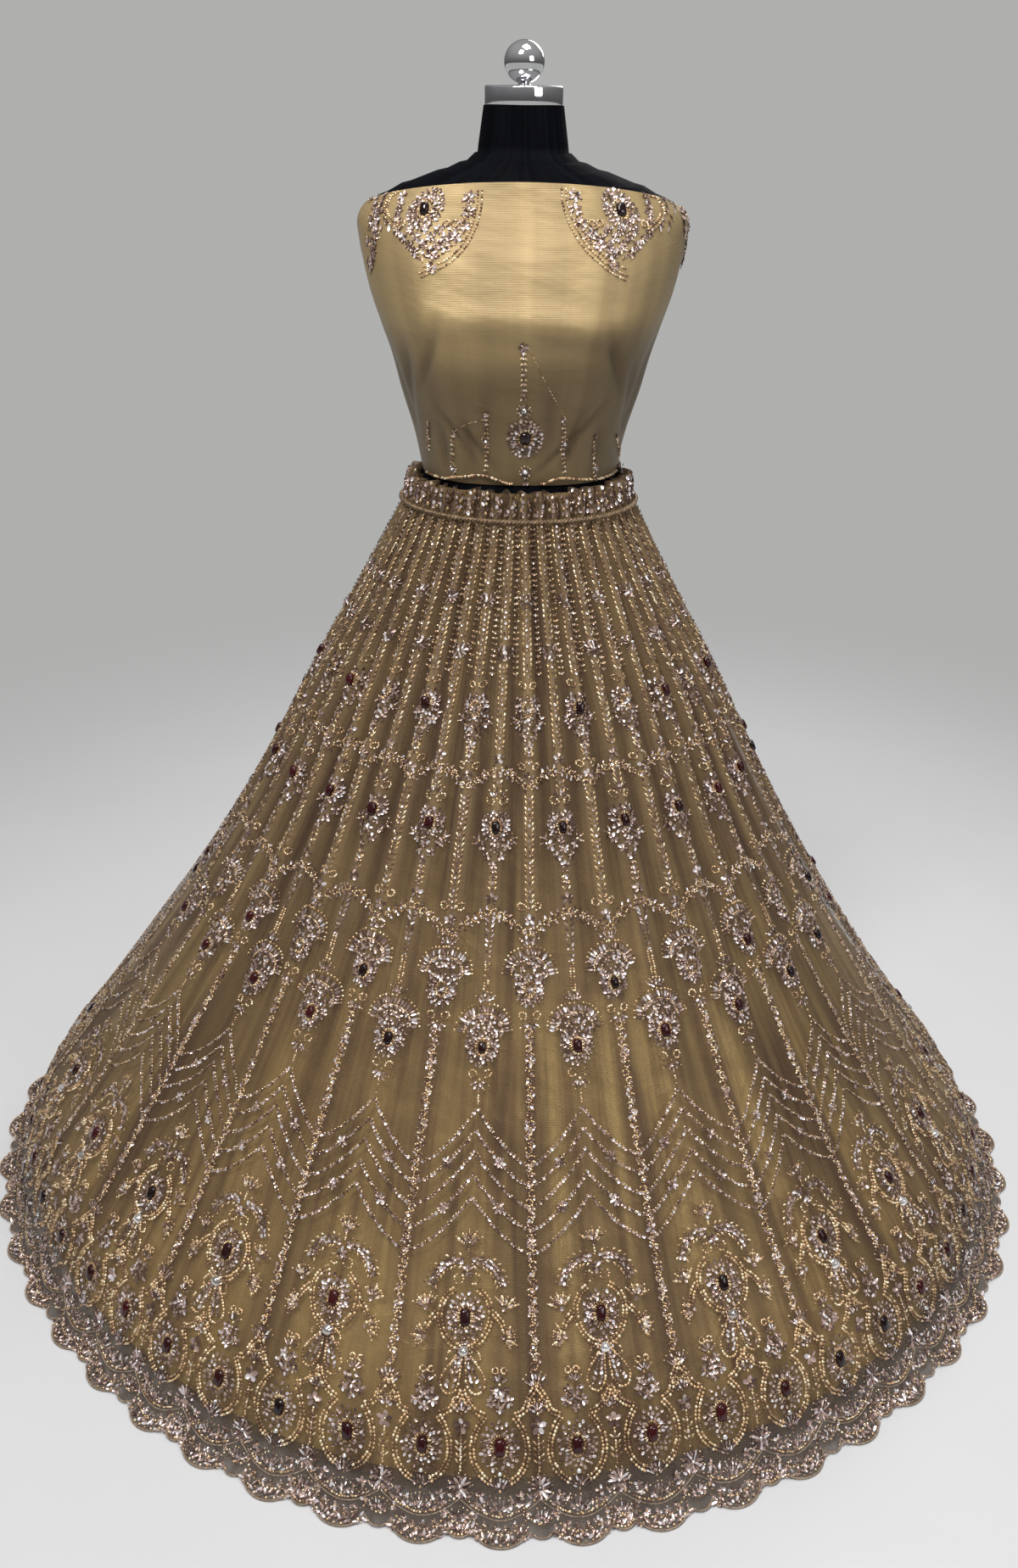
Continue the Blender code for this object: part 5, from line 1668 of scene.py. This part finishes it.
    def small(self, finish: Finish) -> bpy.types.Material:
        """Beads, sequins, stones and crystals, each with its own shade."""
        net, shader, made = self.start(finish)
        shades = net.add("ShaderNodeGroup", node_tree=self.shades)
        shades.inputs["Light"].default_value = colour(finish.light)
        shades.inputs["Dark"].default_value = colour(finish.dark)
        shades.inputs["Accent"].default_value = colour(finish.accent)
        net.tree.links.new(shades.outputs["Color"], shader.inputs["Base Color"])
        if finish in (BEADS, SEQUINS):
            net.tree.links.new(shades.outputs["Roughness"], shader.inputs["Roughness"])
        return made


@dataclass(frozen=True)
class Shot:
    """The camera as solved from the photo."""

    focal_px: float = 1740.0
    width_px: float = 1200.0
    height_px: float = 1849.0
    centre_shift_px: float = 7.0
    pitch: float = 25.45
    roll: float = 0.75
    place: Tuple[float, float, float] = (0.0, -1.812, 1.4205)

    def axes(self) -> Tuple[Vector, Vector, Vector]:
        """Right, up and forward of the camera."""
        pitch = math.radians(self.pitch)
        roll = math.radians(self.roll)
        forward = Vector((0.0, math.cos(pitch), -math.sin(pitch)))
        right = Vector((1.0, 0.0, 0.0))
        up = right.cross(forward)
        turned_right = right * math.cos(roll) + up * math.sin(roll)
        turned_up = -right * math.sin(roll) + up * math.cos(roll)
        return turned_right, turned_up, forward

    def seen(self, points: Array) -> Array:
        """Columns and rows of the photo where points are seen."""
        right, up, forward = (np.array(axis) for axis in self.axes())
        away = points - np.array(self.place)
        depth = away @ forward
        column = self.width_px / 2 + self.centre_shift_px + self.focal_px * (away @ right) / depth
        row = self.height_px / 2 - self.focal_px * (away @ up) / depth
        return np.stack([column, row], axis=-1)

    def build(self) -> None:
        """Set up the camera."""
        data = bpy.data.cameras.new("photo_camera")
        data.sensor_width = 36.0
        data.lens = self.focal_px / self.height_px * data.sensor_width
        data.shift_x = -self.centre_shift_px / self.height_px
        data.clip_start = 0.02
        right, up, forward = self.axes()
        matrix = Matrix((right, up, -forward)).transposed().to_4x4()
        matrix.translation = Vector(self.place)
        camera = bpy.data.objects.new("photo_camera", data)
        bpy.context.scene.collection.objects.link(camera)
        camera.matrix_world = matrix
        bpy.context.scene.camera = camera


class Studio:
    """Pale floor, plain backdrop and soft lights."""

    BACKDROP = (0.43, 0.435, 0.425, 1.0)
    FLOOR = (0.68, 0.685, 0.70, 1.0)

    def __init__(self) -> None:
        """Build all of it."""
        self.floor()
        self.world()
        self.light("key", (-0.7, -1.5, 3.3), 0.8, 66.0, (1.0, 0.98, 0.95))
        self.light("fill", (2.0, -2.1, 2.2), 1.2, 18.0, (0.96, 0.98, 1.0))
        self.light("top", (0.3, -0.3, 3.5), 1.0, 34.0, (1.0, 0.99, 0.98))
        self.light("rim", (0.9, 2.4, 2.3), 1.2, 20.0, (1.0, 0.99, 0.97))

    def floor(self) -> None:
        """A broad pale disc that fades into the backdrop."""
        bpy.ops.mesh.primitive_circle_add(vertices=96, radius=14.0, fill_type="TRIFAN")
        floor = bpy.context.object
        floor.name = "studio_floor"
        material = bpy.data.materials.new("studio_floor_finish")
        material.use_nodes = True
        net = Net(material.node_tree)
        shader = material.node_tree.nodes["Principled BSDF"]
        shader.inputs["Roughness"].default_value = 0.7
        place = net.add("ShaderNodeTexCoord").outputs["Object"]
        grain = net.noise(place, 6.0, 3.0)
        net.tree.links.new(net.mix(grain, self.FLOOR, (0.65, 0.655, 0.67, 1.0)), shader.inputs["Base Color"])
        away = net.add("ShaderNodeVectorMath", {0: place}, operation="LENGTH").outputs["Value"]
        glow = net.add("ShaderNodeEmission", {"Color": self.BACKDROP})
        blend = net.add("ShaderNodeMixShader", {0: net.ramp(away, 0.9, 2.6, 0.0, 1.0), 1: shader.outputs[0],
                                                2: glow.outputs[0]})
        output = material.node_tree.nodes["Material Output"]
        net.tree.links.new(blend.outputs[0], output.inputs["Surface"])
        floor.data.materials.append(material)
        floor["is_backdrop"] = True

    def world(self) -> None:
        """Plain grey seen directly, a soft dome of light for the rest."""
        world = bpy.data.worlds.new("studio")
        world.use_nodes = True
        bpy.context.scene.world = world
        net = Net(world.node_tree)
        rays = net.add("ShaderNodeLightPath").outputs["Is Camera Ray"]
        place = net.add("ShaderNodeTexCoord").outputs["Generated"]
        height = net.add("ShaderNodeSeparateXYZ", {0: place}).outputs[2]
        dome = net.mix(net.ramp(height, -0.3, 0.9, 0.0, 1.0), (0.05, 0.05, 0.052, 1.0), (0.34, 0.34, 0.34, 1.0))
        seen = net.mix(rays, dome, self.BACKDROP)
        net.tree.links.new(seen, world.node_tree.nodes["Background"].inputs["Color"])

    @staticmethod
    def light(name: str, place: Tuple[float, float, float], size: float, power: float,
              tint: Tuple[float, float, float]) -> None:
        """Hang one soft square light aimed at the dress."""
        data = bpy.data.lights.new(name, "AREA")
        data.size = size
        data.energy = power
        data.color = tint
        lamp = bpy.data.objects.new(name, data)
        bpy.context.scene.collection.objects.link(lamp)
        lamp.location = place
        aim = Vector((0.0, 0.0, 0.75)) - Vector(place)
        lamp.rotation_euler = aim.to_track_quat("-Z", "Y").to_euler()


def corners() -> List[List[float]]:
    """The lowest and highest corner of what shows."""
    return [[float(number) for number in corner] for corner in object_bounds()]


def main() -> None:
    """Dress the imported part, then set the studio round it."""
    logging.basicConfig(level=logging.INFO, format="%(name)s: %(message)s")
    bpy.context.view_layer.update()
    finishes = Wardrobe().made
    skirt = SkirtForm()
    blouse = BlouseForm()
    FormPieces(skirt, blouse, finishes)
    SkirtPieces(skirt, finishes)
    shot = Shot()
    CholiPieces(blouse, shot, finishes)
    for node in ("stand_pole", "stand_base"):
        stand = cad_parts[node]
        stand.data.materials.clear()
        stand.data.materials.append(finishes["stand_paint"])
    Studio()
    shot.build()
    bpy.context.scene.view_settings.view_transform = "Standard"


if __name__ == "__main__":
    main()
